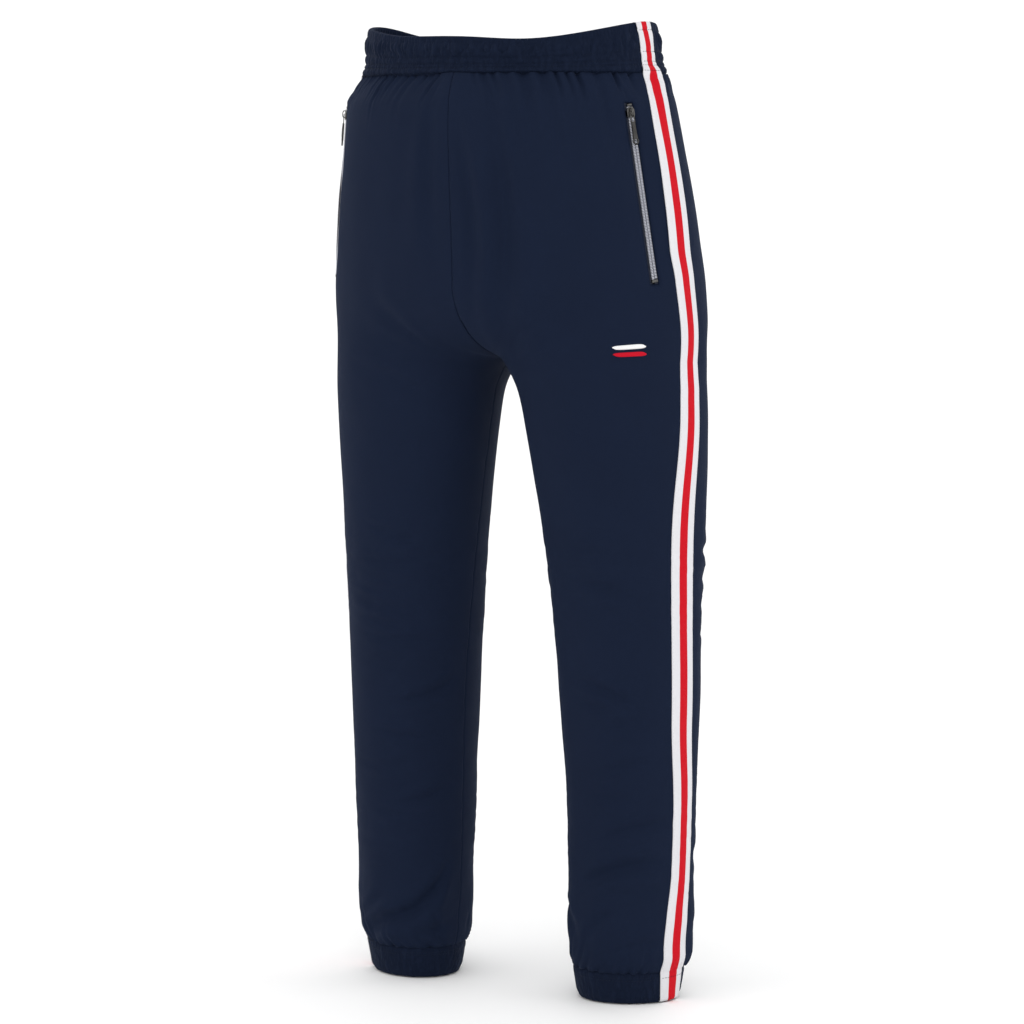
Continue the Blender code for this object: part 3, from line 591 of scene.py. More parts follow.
for side, suffix in left_and_right:
    for part, columns in (("front", front_columns), ("back", back_columns)):
        aheads = np.array([columns(s) for s in panel_stations])
        grid, normal = surface(panel_stations, aheads)
        stations = np.repeat(panel_stations[:, None], aheads.shape[1], axis=1)
        middle = aheads[:, -1:] - aheads if part == "front" else aheads - aheads[:, :1]
        easing = 0.5 * bell(stations - crotch, 0.030)
        easing = easing * ramp(np.abs(aheads), 0.022, 0.050) * ramp(middle, 0.008, 0.040)
        for _ in range(40):
            grid[1:-1] += easing[1:-1, :, None] * (0.5 * (grid[:-2] + grid[2:]) - grid[1:-1])
        lift = folds(side, stations, aheads)
        free = ramp(middle, 0.004, 0.030)
        uneven = 4 * patchy(stations / 0.02, 0 * stations, 21)
        pucker = 0.00035 * np.sin(stations / 0.0055 + uneven) * bell(middle, 0.007)
        lift = lift * free + pucker - 0.0003 * bell(middle, 0.0016) - 0.0004 * bell(middle, 0.0005)
        keep = None
        if part == "front":
            off_zip = np.abs(aheads - zip_line(stations))
            lift -= zip_sag(panel_stations)[:, None] * (1 - ramp(off_zip, 0.007, 0.030))
            in_slot = (stations > zip_bottom - 1e-6) & (stations < zip_top + 1e-6)
            lip = np.where(in_slot, bell(np.maximum(off_zip - slot_half, 0.0), lip_width), 0.0)
            lift -= lip_drop * lip
            above = ramp(stations, zip_top, zip_top + 0.004)
            below = 1 - ramp(stations, zip_bottom - 0.006, zip_bottom - 0.0005)
            lift -= above * (0.0010 * bell(off_zip, 0.0014) - 0.0004 * bell(off_zip - 0.0042, 0.0022))
            lift -= 0.0006 * bell(off_zip, 0.003) * bell(stations - zip_bottom + 0.002, 0.003) * below
            keep = np.ones((len(panel_stations) - 1, aheads.shape[1] - 1), bool)
            rows = (panel_stations[:-1] > zip_bottom - 1e-6) & (panel_stations[1:] < zip_top + 1e-6)
            keep[np.ix_(rows, np.arange(slot_columns.start, slot_columns.stop))] = False
        lift -= hem_curl * (bell(stations - waist_seam, 0.0030) + 1.2 * bell(stations - cuff_top, 0.0030))
        lift += cuff_flare * (1 - ramp(stations, cuff_top, cuff_top + cuff_flare_reach))
        lift += waist_flare * ramp(stations, waist_seam - waist_flare_reach, waist_seam)
        points = grid + normal * lift[:, :, None]
        if part == "front":
            drawn = 1 - ramp(off_zip, slot_half + 0.0031, slot_half + 0.012)
            drawn *= ramp(stations, zip_bottom - 0.02, zip_bottom)
            drawn *= 1 - ramp(stations, zip_top, zip_top + 0.02)
            stray = zip_line(stations) - aheads - (points - zip_start) @ zip_back
            points += (drawn * stray)[:, :, None] * zip_back
        points[:, :, 0] = np.maximum(points[:, :, 0], seam_clearance)
        faces = grid_faces(*aheads.shape, keep=keep)
        uv = np.stack([aheads, stations], axis=-1)
        used, faces = np.unique(faces, return_inverse=True)
        faces = faces.reshape(-1, 4)
        points, uv = points.reshape(-1, 3)[used], uv.reshape(-1, 2)[used]
        panel = mesh_piece(f"{part}_cloth_{suffix}", points, faces, navy_cloth, uv, side)
        fitted(thicken(panel, cloth_thick), "garment", f"{part}_panel_{suffix}")

# ---- Waistband ----
# One strip of the same knit, folded over a 30 mm elastic and sewn to the panels at its lower edge. Four rows of
# stitches run through cloth and elastic, so the cloth between them bunches into short uneven gathers.

band_stitch_rows = (0.15, 0.245, 0.43, 0.83)
band_thick = 0.0008
band_depth = 0.0062
band_columns = 900


def loop_points(stations, count, both_sides=True):
    """Rings of evenly spaced points round the waist, or round the left leg, with the level normals out of them."""
    rings, outward, lengths = [], [], []
    for station in stations:
        front, back = half_row(station, -1), half_row(station, 1)
        if both_sides:
            left = np.concatenate([back[::-1], front[1:]])
            ring = np.concatenate([left, left[::-1] * np.array([-1.0, 1.0, 1.0])])
        else:
            ring = np.concatenate([back[::-1][:-1], front[:-1]])
        ring = np.concatenate([ring, ring[:1]])
        length = run_length(ring)
        even = on_row((ring, length), np.linspace(0.0, length[-1], count, endpoint=False))
        around = np.roll(even, -1, axis=0) - np.roll(even, 1, axis=0)
        normal = np.cross([0.0, 0.0, 1.0], around)
        rings.append(even)
        outward.append(normal / np.linalg.norm(normal, axis=1, keepdims=True))
        lengths.append(length[-1])
    return np.array(rings), np.array(outward), float(np.mean(lengths))


def tube_faces(runs, rings, sides):
    """Faces of capped tubes laid out as runs x rings x sides, with six or eight sides."""
    faces = []
    for run in range(runs):
        first = run * rings * sides
        for ring in range(rings - 1):
            a = first + ring * sides
            for i in range(sides):
                after = a + (i + 1) % sides
                faces.append((a + i, after, after + sides, a + sides + i))
        for cap, order in ((first, -1), (first + (rings - 1) * sides, 1)):
            fan = [(cap, cap + i, cap + i + 1, cap + i + 2) for i in range(1, sides - 2, 2)]
            faces += [quad[::order] for quad in fan]
    return faces


def stitches(path, outward, stitch=0.0026, gap=0.0008, thick=0.00042):
    """Points and faces of a row of thread stitches that dip into the cloth at each end."""
    length = run_length(path)
    starts = np.arange(gap, length[-1] - stitch, stitch + gap)
    places = starts[:, None] + stitch * np.array([0.0, 0.2, 0.8, 1.0])
    centre, out = on_row((path, length), places), on_row((outward, length), places)
    out /= np.linalg.norm(out, axis=-1, keepdims=True)
    run = centre[:, -1:] - centre[:, :1]
    beside = np.cross(out, run / np.linalg.norm(run, axis=-1, keepdims=True))
    sink = thick * np.array([-0.7, 0.25, 0.25, -0.7])[None, :, None]
    swell = (thick / 2 * np.array([0.6, 1.0, 1.0, 0.6]))[None, :, None, None]
    turn = np.linspace(0.0, 2 * np.pi, 6, endpoint=False)
    wrap = np.cos(turn)[:, None] * beside[:, :, None, :] + np.sin(turn)[:, None] * out[:, :, None, :]
    points = (centre + out * sink)[:, :, None, :] + swell * wrap
    return points.reshape(-1, 3), tube_faces(len(starts), 4, 6)


def merged(parts):
    points, faces, first = [], [], 0
    for some, their_faces in parts:
        points.append(np.asarray(some, float).reshape(-1, 3))
        faces += [[int(i) + first for i in face] for face in their_faces]
        first += len(points[-1])
    return np.concatenate(points), faces


def thread_look(name, dark, light):
    """Twisted thread, which has a slight gloss."""
    twist = (0.0006, 2.0, 0.6)
    return grained(name, dark, light, twist, (0.50, 0.2), 0.00008, Specular_IOR_Level=0.12)


navy_thread = thread_look("navy thread", (0.0024, 0.0045, 0.0120, 1.0), (0.0050, 0.0088, 0.0210, 1.0))


def gathers(round_way, share, seed, pitch, rows, swell):
    """The bunching of elasticated cloth: puffs and sharp creases, held flat where a stitch row runs."""
    moved = np.zeros_like(round_way)
    edges = [0.0, *rows, 1.0]
    for i, (low, high) in enumerate(zip(edges[:-1], edges[1:])):
        inside = np.clip((share - low) / (high - low), 0.0, 1.0)
        arch = np.where((share >= low) & (share <= high), np.sin(np.pi * inside), 0.0)
        tall = (high - low) / max(np.diff(edges))
        lean = 0.8 * patchy(round_way / (pitch * 6), i * 5.0, seed + 3) * inside
        puff = patchy(round_way / pitch + lean, inside * 1.1 * tall + i * 9.0, seed + i)
        fine = patchy(round_way / (pitch * 0.5) - lean, inside * 1.6 * tall + i * 9.0, seed + 20 + i)
        bunch = np.abs(puff) ** 0.55 + 0.45 * np.abs(fine) ** 0.6
        moved += (0.35 + 0.65 * tall) * arch**0.6 * swell * bunch
    calm = 1 - 0.65 * ramp(share, edges[-2], edges[-2] + 0.05)
    return moved * calm


def banded(
    name, base, edge, out, length, seed, pitch, rows, swell, sink, flare, flare_reach, tuck, side, calm_places
):
    """A folded band between its seam ring and its edge ring, as one open skin: outside, fold and inside."""
    outer = np.concatenate([[-0.05, -0.02, 0.0, 0.015], np.linspace(0.03, 0.955, 40), [0.972]])
    fold = np.radians(np.array([20.0, 45.0, 70.0, 90.0, 110.0, 135.0, 160.0]))
    rise = (edge - base)[:, 2]
    round_way = np.linspace(0.0, length, len(base), endpoint=False)
    lean = ((edge - base) * out).sum(axis=1)
    half = band_depth / 2
    near = np.minimum.reduce([np.abs(round_way - c) for c in calm_places])
    held = 0.15 + 0.85 * ramp(near, 0.015, 0.026)
    steps = [(s, 0.0, False) for s in outer]
    steps += [(0.97 + 0.03 * np.sin(a), -half + half * np.cos(a), False) for a in fold]
    steps += [(s, -band_depth, True) for s in np.linspace(0.93, -0.02, 23)]

    def ring(share, depth):
        flared = flare * (1 - ramp(share, 0.0, flare_reach)) - tuck * ramp(share, 0.75, 1.0)
        place = base + out * (lean * share - sink + flared + depth)[:, None]
        place[:, 2] = base[:, 2] + rise * share
        return place

    levels, along = [], [0.0]
    for share, depth, inside in steps:
        level = np.full_like(round_way, share)
        shift = held * gathers(round_way, level, seed + (50 if inside else 0), pitch, rows, swell)
        if inside:
            shift = -0.4 * shift
        elif share > 0.94:
            shift = shift * (1 - ramp(share, 0.94, 0.985))
            shift = shift + 0.0003 * patchy(round_way / pitch, 2.0, seed + 90)
        elif share < 0.15:
            shift = shift - 0.0014 * bell(share, 0.09) - (0.0024 if share < 0.0 else 0.0)
        levels.append(ring(share, depth + shift))
        if len(levels) > 1:
            along.append(along[-1] + float(np.linalg.norm(levels[-1] - levels[-2], axis=1).mean()))
    points = np.array(levels)
    uv = np.stack(np.meshgrid(round_way, along), axis=-1)
    faces = grid_faces(*points.shape[:2], closed=True)
    if rise[0] < 0:
        faces = faces[:, ::-1]
    cloth = thicken(mesh_piece(name, points, faces, navy_band, uv, side), band_thick)
    sewn = []
    for share in rows:
        path = ring(share, 0.0)
        sewn.append(stitches(np.concatenate([path, path[:1]]), np.concatenate([out, out[:1]])))
    sewn = mesh_piece(name.replace("cloth", "stitches"), *merged(sewn), navy_thread, side=side)
    fitted(sewn, "garment")
    return fitted(cloth, "garment")


(seam_ring, edge_ring), (seam_out, _), band_length = loop_points(
    [waist_seam + 0.0002, outseam], band_columns
)
back_length = -whole_row(0.5 * (waist_seam + outseam))[1][0]
side_places = [back_length + 0.006, band_length - back_length - 0.006]
in_front = ramp(-edge_ring[:, 1], -0.050, 0.040)
aside = edge_ring[:, 0]
dip = 0.0045 * bell(aside - 0.075, 0.055) - 0.0030 * bell(aside + 0.120, 0.035)
back_dip = 0.0040 * bell(aside + 0.085, 0.060) + 0.0040 * bell(aside + 0.142, 0.026)
edge_ring[:, 2] -= in_front * dip + (1 - in_front) * back_dip
for ring in (seam_ring, edge_ring):
    ring[:, 0] += slack * ramp(-ring[:, 0], 0.100, 0.160)
# The crinkle of this knit also paints shade into the creases of the waistband and cuffs.
navy_band = navy_knit(
    "navy band knit", (0.0030, 0.0058, 0.0155, 1.0), (0.0070, 0.0120, 0.0290, 1.0), crinkle=0.0010
)
band = banded(
    "band_cloth",
    seam_ring,
    edge_ring,
    seam_out,
    band_length,
    seed=300,
    pitch=0.0085,
    rows=band_stitch_rows,
    swell=0.0032,
    sink=0.0020,
    flare=waist_flare,
    flare_reach=0.24,
    tuck=0.0,
    side=1,
    calm_places=side_places,
)
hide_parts("waistband")

# The elastic inside the band: a white woven strip with lengthwise ribs, caught by the stitch rows.

elastic_width, elastic_thick, elastic_ribs = 0.030, 0.0014, 13


def elastic_look():
    look, shade = new_look("white woven elastic")
    across, along = shade.cloth_place()
    rib = (along * (2 * np.pi / 0.0024)).math("SINE") * 0.5 + 0.5
    yarn = (across * (2 * np.pi / 0.0011)).math("SINE") * 0.5 + 0.5
    tone = rib * 0.6 + yarn * 0.4
    return set_look(look, tone.mixed(grey(0.62), grey(0.80)), 0.70 + yarn * 0.1, tone, 0.0003)


white_elastic = elastic_look()


def elastic_ring(name, low, high, out, length, width, depth, side):
    """A ribbed strip that stands inside a folded band, halfway between the band's two rings."""
    middle, count = (low + high) / 2, len(low)
    levels = np.linspace(-width / 2, width / 2, elastic_ribs)
    ribs = 0.00015 * np.cos(np.arange(elastic_ribs) * np.pi)
    upward = (high - low) / np.linalg.norm(high - low, axis=1, keepdims=True)
    points = [middle + out * (depth + rib) + upward * level for level, rib in zip(levels, ribs)]
    uv = np.stack(np.meshgrid(np.linspace(0.0, length, count, endpoint=False), levels), axis=-1)
    made = mesh_piece(name, points, grid_faces(elastic_ribs, count, closed=True), white_elastic, uv, side)
    return fitted(thicken(made, elastic_thick), "garment")


waist_strip = elastic_ring(
    "waist_elastic_strip", *(ring[::3] for ring in (seam_ring, edge_ring, seam_out)),
    length=band_length, width=elastic_width, depth=-0.0050, side=1,
)
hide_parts("waist_elastic")

# ---- Cuffs ----
# Each leg ends in a folded band of the same knit with a 22 mm elastic inside, sewn to the gathered edge of the leg.
# One row of stitches runs round it a little below the seam.

cuff_columns = 300
cuff_stitch_rows = (0.16, 0.24)

for side, suffix in left_and_right:
    (top_ring, hem_ring), (cuff_out, _), cuff_length = loop_points([cuff_top, 0.0], cuff_columns, False)
    seam_place = -whole_row(cuff_top / 2)[1][0] - 0.003
    cuff = banded(
        f"cuff_cloth_{suffix}",
        top_ring,
        hem_ring,
        cuff_out,
        cuff_length,
        seed=400 + 37 * side,
        pitch=0.0105,
        rows=cuff_stitch_rows,
        swell=0.0012,
        sink=0.0002,
        flare=cuff_flare,
        flare_reach=1.0,
        tuck=0.0020,
        side=side,
        calm_places=[seam_place],
    )
    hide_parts(f"cuff_{suffix}")
    strip = elastic_ring(
        f"cuff_elastic_strip_{suffix}", *(ring[::2] for ring in (hem_ring, top_ring, cuff_out)),
        length=cuff_length, width=0.022, depth=-0.0026, side=side,
    )
    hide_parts(f"cuff_elastic_{suffix}")

# ---- Side tapes ----
# A 32 mm knitted tape in white, red and white runs down each side seam over waistband, leg and cuff. It is sewn
# along both edges with white thread, and turns in over the waist edge and the hem.

tape_width, tape_thick, tape_lift, red_half = 0.032, 0.0007, 0.0010, 0.0058


def tape_line(station):
    """How far ahead of the side seam the middle of the tape runs: it wanders a little with the cloth."""
    legs = [0.0, 0.038, 0.075, 0.15, 0.31, 0.42, 0.52, 0.63]
    hips = [0.71, 0.75, 0.79, 0.835, 0.896, 0.938, 0.967, 1.0, 1.02]
    ahead = [-5.0, -1.0, 3.0, -3.5, -3.0, -1.5, 6.0, 6.5, 0.5, 2.0, 8.0, 7.5, 6.0, 6.5, 8.0, 9.0, 12.5]
    return 0.001 * eased(station, legs + hips, ahead)


def tape_look():
    look, shade = new_look("white and red side tape")
    across, along = shade.cloth_place()
    edge = red_half - across.math("ABSOLUTE")
    red = (edge / 0.0004).math("MAXIMUM", 0.0).math("MINIMUM", 1.0)
    rib = (along * (2 * np.pi / 0.0013)).math("SINE") * 0.5 + 0.5
    wale = (across * (2 * np.pi / 0.0009)).math("SINE") * 0.5 + 0.5
    fuzz = shade.noise(0.0020, 3.0, 0.6)
    yarn = rib * 0.35 + wale * 0.35 + fuzz * 0.3
    white = yarn.mixed((0.540, 0.535, 0.560, 1.0), (0.680, 0.675, 0.700, 1.0))
    scarlet = yarn.mixed((0.420, 0.0008, 0.007, 1.0), (0.540, 0.0016, 0.012, 1.0))
    roughness = 0.62 + fuzz * 0.2
    return set_look(look, red.mixed(white, scarlet), roughness, yarn, 0.00022, Specular_IOR_Level=0.12)


side_tape_look = tape_look()
white_thread = thread_look("white thread", grey(0.66), grey(0.82))
tape_across = np.linspace(-tape_width / 2, tape_width / 2, 21)
edge = 0.0004
tape_stations = np.concatenate([
    [edge, 2 * edge, 0.003],
    np.linspace(0.0045, waist_seam, 300),
    np.linspace(waist_seam, outseam - 0.003, 26)[1:],
    outseam - edge * np.array([4.0, 2.0, 1.0, 0.3]),
])
tape_ends = np.array([0.0040, 0.0013, 0.0003])

for side, suffix in left_and_right:
    across = np.tile(tape_across, (len(tape_stations), 1))
    squeezed = 1 - 0.25 * ramp(tape_stations, waist_seam - 0.006, waist_seam + 0.012)
    aheads = across * squeezed[:, None] + np.array([tape_line(s) for s in tape_stations])[:, None]
    stations = np.repeat(tape_stations[:, None], len(tape_across), axis=1)
    grid, normal = surface(tape_stations, aheads)
    on_leg = ramp(stations, cuff_top - 0.006, cuff_top + 0.004)
    on_leg *= 1 - ramp(stations, waist_seam - 0.006, waist_seam)
    on_band = ramp(stations, waist_seam - 0.004, waist_seam + 0.008)
    lift = tape_lift + folds(side, stations, aheads) * on_leg
    ripple = 0.0005 * patchy(aheads / 0.009, stations / 0.012, 800 + side)
    lift += on_band * (ripple - (0.0006 if side > 0 else 0.0006 + slack))
    over_cuff = ramp(stations, 0.0, cuff_top) * (1 - ramp(stations, cuff_top, cuff_top + cuff_flare_reach))
    over_waist = ramp(stations, waist_seam - waist_flare_reach, waist_seam)
    over_waist *= 1 - ramp(stations, waist_seam, waist_seam + 0.013)
    lift += cuff_flare * over_cuff + waist_flare * over_waist
    for share in band_stitch_rows:
        lift -= 0.0006 * bell(stations - waist_seam - share * band_side, 0.0012)
    for share in cuff_stitch_rows:
        lift -= 0.0004 * bell(stations - cuff_top * (1 - share), 0.0010)
    lift -= 0.0005 * bell(stations - waist_seam, 0.0016) + 0.0005 * bell(stations - cuff_top, 0.0016)
    lift -= 0.0003 * ramp(np.abs(across), tape_width / 2 - 0.0015, tape_width / 2)
    lift[:3] -= tape_ends[:, None]
    lift[-3:] -= tape_ends[::-1, None]
    points = grid + normal * lift[:, :, None]
    uv = np.stack([across, stations], axis=-1)
    tape = mesh_piece(
        f"side_tape_cloth_{suffix}", points, grid_faces(*aheads.shape), side_tape_look, uv, side
    )
    fitted(thicken(tape, tape_thick), "garment", f"side_tape_{suffix}")
    rows = [stitches(points[4:-4, i], normal[4:-4, i], thick=0.00036) for i in (1, -2)]
    sewn = mesh_piece(f"side_tape_stitches_{suffix}", *merged(rows), white_thread, side=side)
    fitted(sewn, "garment")
    crossings = [waist_seam + share * band_side for share in band_stitch_rows]
    crossings += [waist_seam + 0.0015, *(cuff_top * (1 - share) for share in cuff_stitch_rows)]
    rows = []
    for station in crossings:
        row = int(np.argmin(np.abs(tape_stations - station)))
        rows.append(stitches(points[row], normal[row], stitch=0.0030, gap=0.0006))
    crossed = mesh_piece(f"side_tape_crossings_{suffix}", *merged(rows), navy_thread, side=side)
    fitted(crossed, "garment")

# ---- Pocket zips ----
# Each hip pocket closes with a coil zip set in a slot of the front panel: two navy woven tapes under the slot's
# edges, two rows of silver nylon coil sewn to them, and a moulded stop at each end.


def zip_place(along, back, out):
    """Points down the zip, towards the side seam and out of the cloth."""
    along, back, out = (np.asarray(v, float)[..., None] for v in np.broadcast_arrays(along, back, out))
    return zip_start + zip_down * along + zip_back * back + zip_out * out


tape_level, coil_base = -0.0039, -0.0021
coil_pitch, tooth_reach, tooth_tall, tooth_half = 0.00155, 0.0030, 0.0013, 0.00060


def zip_tape_look():
    look, shade = new_look("navy zip tape")
    across, along = shade.cloth_place()
    slant = (across / 0.003).math("PINGPONG", 0.5)
    twill = ((along / 0.0012 + slant * 3.0) * (2 * np.pi)).math("SINE")
    weave = twill * 0.5 + 0.5
    dark, light = (0.0060, 0.0100, 0.0250, 1.0), (0.0120, 0.0180, 0.0420, 1.0)
    return set_look(look, weave.mixed(dark, light), 0.60 + weave * 0.15, weave, 0.0002)


woven_zip_tape = zip_tape_look()
silver_coil = grained(
    "silver nylon coil", (0.36, 0.37, 0.42, 1.0), (0.60, 0.61, 0.67, 1.0),
    (0.0015, 3.0, 0.6), (0.24, 0.16), 0.00003, Metallic=0.35,
)
dark_metal = grained(
    "dark plated zip metal", (0.022, 0.022, 0.024, 1.0), (0.120, 0.118, 0.112, 1.0),
    (0.0012, 4.0, 0.65), (0.20, 0.22), 0.00003, Metallic=1.0,
)


def prism(outline, low, high):
    """A plate cut to an outline of (along, back) points, between two heights off the cloth."""
    count = len(outline)
    points = np.concatenate([[zip_place(a, b, level) for a, b in outline] for level in (low, high)])
    walls = [(i, i + count, (i + 1) % count + count, (i + 1) % count) for i in range(count)]
    return points, [tuple(range(count)), tuple(range(2 * count - 1, count - 1, -1)), *walls]


def bar(start, end, back, half_width):
    near, far = back - half_width, back + half_width
    return [(start, near), (start, far), (end, far), (end, near)]


def moulded(name, parts, look, rounding, side):
    """Hard pieces in one object, with rounded edges."""
    points, faces = merged(parts)
    made = mesh_piece(name, points, faces, look, side=side, smooth=False)
    edges = made.modifiers.new("rounded edges", "BEVEL")
    edges.width = rounding
    edges.segments = 3
    edges.limit_method = "ANGLE"
    edges.angle_limit = np.radians(35.0)
    return made


for side, suffix in left_and_right:
    for name, way in (("front", -1), ("rear", 1)):
        down = np.linspace(-0.005, zip_length + 0.005, 60)
        across = np.linspace(0.00105, 0.0100, 9)
        level = tape_level + 0.0003 * np.sin(down / 0.011)[:, None] * ramp(across, 0.003, 0.010)
        points = zip_place(down[:, None], way * across[None, :], level)
        order = 1 if way < 0 else -1
        faces = grid_faces(*points.shape[:2])[:, ::order]
        uv = np.stack(np.meshgrid(across, down), axis=-1)
        strip = mesh_piece(f"zip_tape_cloth_{name}_{suffix}", points, faces, woven_zip_tape, uv, side)
        fitted(thicken(strip, 0.0006), "garment", f"zip_tape_{name}_{suffix}")

        turn = np.linspace(0.0, 2 * np.pi, 8, endpoint=False)
        first = 0.0040 + (coil_pitch / 2 if way > 0 else 0.0)
        teeth = np.arange(first, zip_length - 0.0056, coil_pitch)
        reach = np.array([0.00028, 0.00045, 0.0013, tooth_reach - 0.00025, tooth_reach])
        swell = np.array([0.55, 0.95, 1.0, 0.95, 0.55])
        down = teeth[:, None, None] + tooth_half * swell[None, :, None] * np.cos(turn)
        down = down + 0.10 * reach[None, :, None]
        out = coil_base + tooth_tall * (1 + swell[None, :, None] * np.sin(turn))
        points = zip_place(down, way * reach[None, :, None], out)
        faces = [face[:: -way] for face in tube_faces(len(teeth), 5, 8)]
        coil = mesh_piece(f"zip_coil_teeth_{name}_{suffix}", points, faces, silver_coil, side=side)
        fitted(coil, "garment", f"zip_coil_{name}_{suffix}")
    stops = {
        "top": bar(0.0010, 0.0030, 0.0, 0.0026),
        "bottom": bar(zip_length - 0.0048, zip_length - 0.0018, 0.0, 0.0034),
    }
    for name, outline in stops.items():
        block = prism(outline, coil_base, 0.0002)
        stop = moulded(f"zip_{name}_stop_metal_{suffix}", [block], dark_metal, 0.0004, side)
        fitted(stop, "garment", f"zip_{name}_stop_{suffix}")

# The slider is a cast body of two plates with a bridge over the top one. A wire link passes under the bridge and
# carries a slim moulded grip, with ridges for the fingers and an eye at its end.

slider_start, slider_length, slider_half = 0.004, 0.0110, 0.0042
plate_low, plate_top, bridge_top, bridge_half = 0.0001, 0.0012, 0.0042, 0.0008
pin_along, pin_rise, wire = slider_start + 0.0050, 0.0022, 0.0005


def slider_outline(shrink):
    share = np.linspace(0.0, 1.0, 11)
    half = slider_half * (0.60 + 0.40 * ramp(share, 0.0, 0.32) - 0.22 * ramp(share, 0.78, 1.0)) - shrink
    along = slider_start + shrink + share * (slider_length - 2 * shrink)
    rear = list(zip(along, half))
    return [(a, -b) for a, b in rear] + rear[::-1]


def bridge():
    """An arch that stands on the top plate."""
    middle, reach, rise = slider_start + 0.0051, 0.0041, bridge_top - plate_top

    def arch(reach, rise):
        turns = np.linspace(0.0, np.pi, 13)
        return [(middle - reach * np.cos(t), plate_top - 0.0003 + rise * np.sin(t) ** 0.45) for t in turns]

    outer, inner = arch(reach, rise + 0.0003), arch(reach - 0.0009, rise - 0.0006)
    rim = outer + inner[::-1]
    count = len(rim)
    points = np.concatenate([[zip_place(a, b, level) for a, level in rim] for b in (-bridge_half, bridge_half)])
    walls = [(i, (i + 1) % count, (i + 1) % count + count, i + count) for i in range(count)]
    ends = []
    for i in range(len(outer) - 1):
        quad = (i, count - 1 - i, count - 2 - i, i + 1)
        ends += [quad, tuple(j + count for j in quad[::-1])]
    return points, walls + ends


def wire_loop(path, radius, sides=8):
    """A closed loop of round wire through (along, back, out) places."""
    centre = np.array([zip_place(*p) for p in path])
    run = np.roll(centre, -1, axis=0) - np.roll(centre, 1, axis=0)
    run /= np.linalg.norm(run, axis=1, keepdims=True)
    beside = np.cross(zip_out, run)
    turn = np.linspace(0.0, 2 * np.pi, sides, endpoint=False)
    ring = np.cos(turn)[None, :, None] * beside[:, None, :] + np.sin(turn)[None, :, None] * zip_out
    points = (centre[:, None, :] + radius * ring).reshape(-1, 3)
    faces = []
    for i in range(len(path)):
        a, b = i * sides, (i + 1) % len(path) * sides
        faces += [(a + j, a + (j + 1) % sides, b + (j + 1) % sides, b + j) for j in range(sides)]
    return points, faces


def rounded_box_path(start, end, half, corner, level):
    """A closed path round a box with round corners, flat above the cloth."""
    path = []
    for along, back, first in ((end, half, 0), (start, half, 1), (start, -half, 2), (end, -half, 3)):
        centre = (along - corner * (1 if along == end else -1), back - corner * np.sign(back))
        for share in np.linspace(0.0, 1.0, 5):
            turn = np.radians(90.0 * (first + share))
            path.append((centre[0] + corner * np.cos(turn), centre[1] + corner * np.sin(turn), level))
    return path


black_grip = grained(
    "black moulded grip", (0.012, 0.012, 0.013, 1.0), (0.060, 0.058, 0.055, 1.0),
    (0.0008, 3.0, 0.6), (0.28, 0.2), 0.00005, Metallic=0.7,
)
grip_start, grip_end = pin_along + 0.0100, pin_along + 0.034
under_plate = (tape_level - 0.0021, tape_level - 0.0011)
wall_ends, wall_half = (slider_start + 0.0031, slider_start + 0.0098), 0.0004
wall_outlines = [bar(*wall_ends, way * (slider_half - wall_half), wall_half) for way in (-1, 1)]
grip_outline = [(grip_start, 0.0012), (grip_start + 0.0014, 0.0018)]
grip_outline += [(grip_end - 0.0110, 0.0022), (grip_end - 0.0070, 0.0026), (grip_end - 0.0058, 0.0020)]
grip_outline = [(a, -b) for a, b in grip_outline] + grip_outline[::-1]
eye_radius, ridge_pitch = 0.0028, 0.0017
eye = [
    (grip_end - 0.0038 + eye_radius * np.cos(t), eye_radius * np.sin(t), pin_rise + 0.0001)
    for t in np.linspace(0.0, 2 * np.pi, 24, endpoint=False)
]

for side, suffix in left_and_right:
    parts = [prism(slider_outline(0.0), plate_low, plate_top - 0.0003)]
    parts.append(prism(slider_outline(0.0011), 0.0007, plate_top))
    parts += [prism(slider_outline(0.0), *under_plate), bridge()]
    parts += [prism(outline, tape_level + 0.0004, plate_low + 0.0003) for outline in wall_outlines]
    slider = moulded(f"zip_slider_body_{suffix}", parts, dark_metal, 0.00018, side)
    fitted(slider, f"slider_{suffix}", f"zip_slider_{suffix}")
    path = rounded_box_path(pin_along, pin_along + 0.0112, 0.0021, 0.0009, pin_rise)
    points, faces = wire_loop(path, wire)
    link = mesh_piece(f"pull_link_wire_{suffix}", points, faces, dark_metal, side=side)
    fitted(link, f"pull_{suffix}", f"pull_link_{suffix}")
    ridges = [grip_start + 0.0045 + ridge_pitch * i for i in range(6)]
    ridges = [bar(start, start + 0.0008, 0.0, 0.0017) for start in ridges]
    parts = [prism(grip_outline, pin_rise - 0.0010, pin_rise + 0.0011)]
    parts += [prism(outline, pin_rise + 0.0010, pin_rise + 0.0015) for outline in ridges]
    parts.append(wire_loop(eye, 0.0009))
    grip = moulded(f"pull_grip_moulding_{suffix}", parts, black_grip, 0.00035, side)
    fitted(grip, f"pull_{suffix}", f"pull_grip_{suffix}")

# ---- Pocket bags ----
# Behind each zip hangs a flat bag of smooth thin lining: one layer against the front panel, and one that stands off
# it a little, as it does when the pocket has been used. The two are joined round their edge.

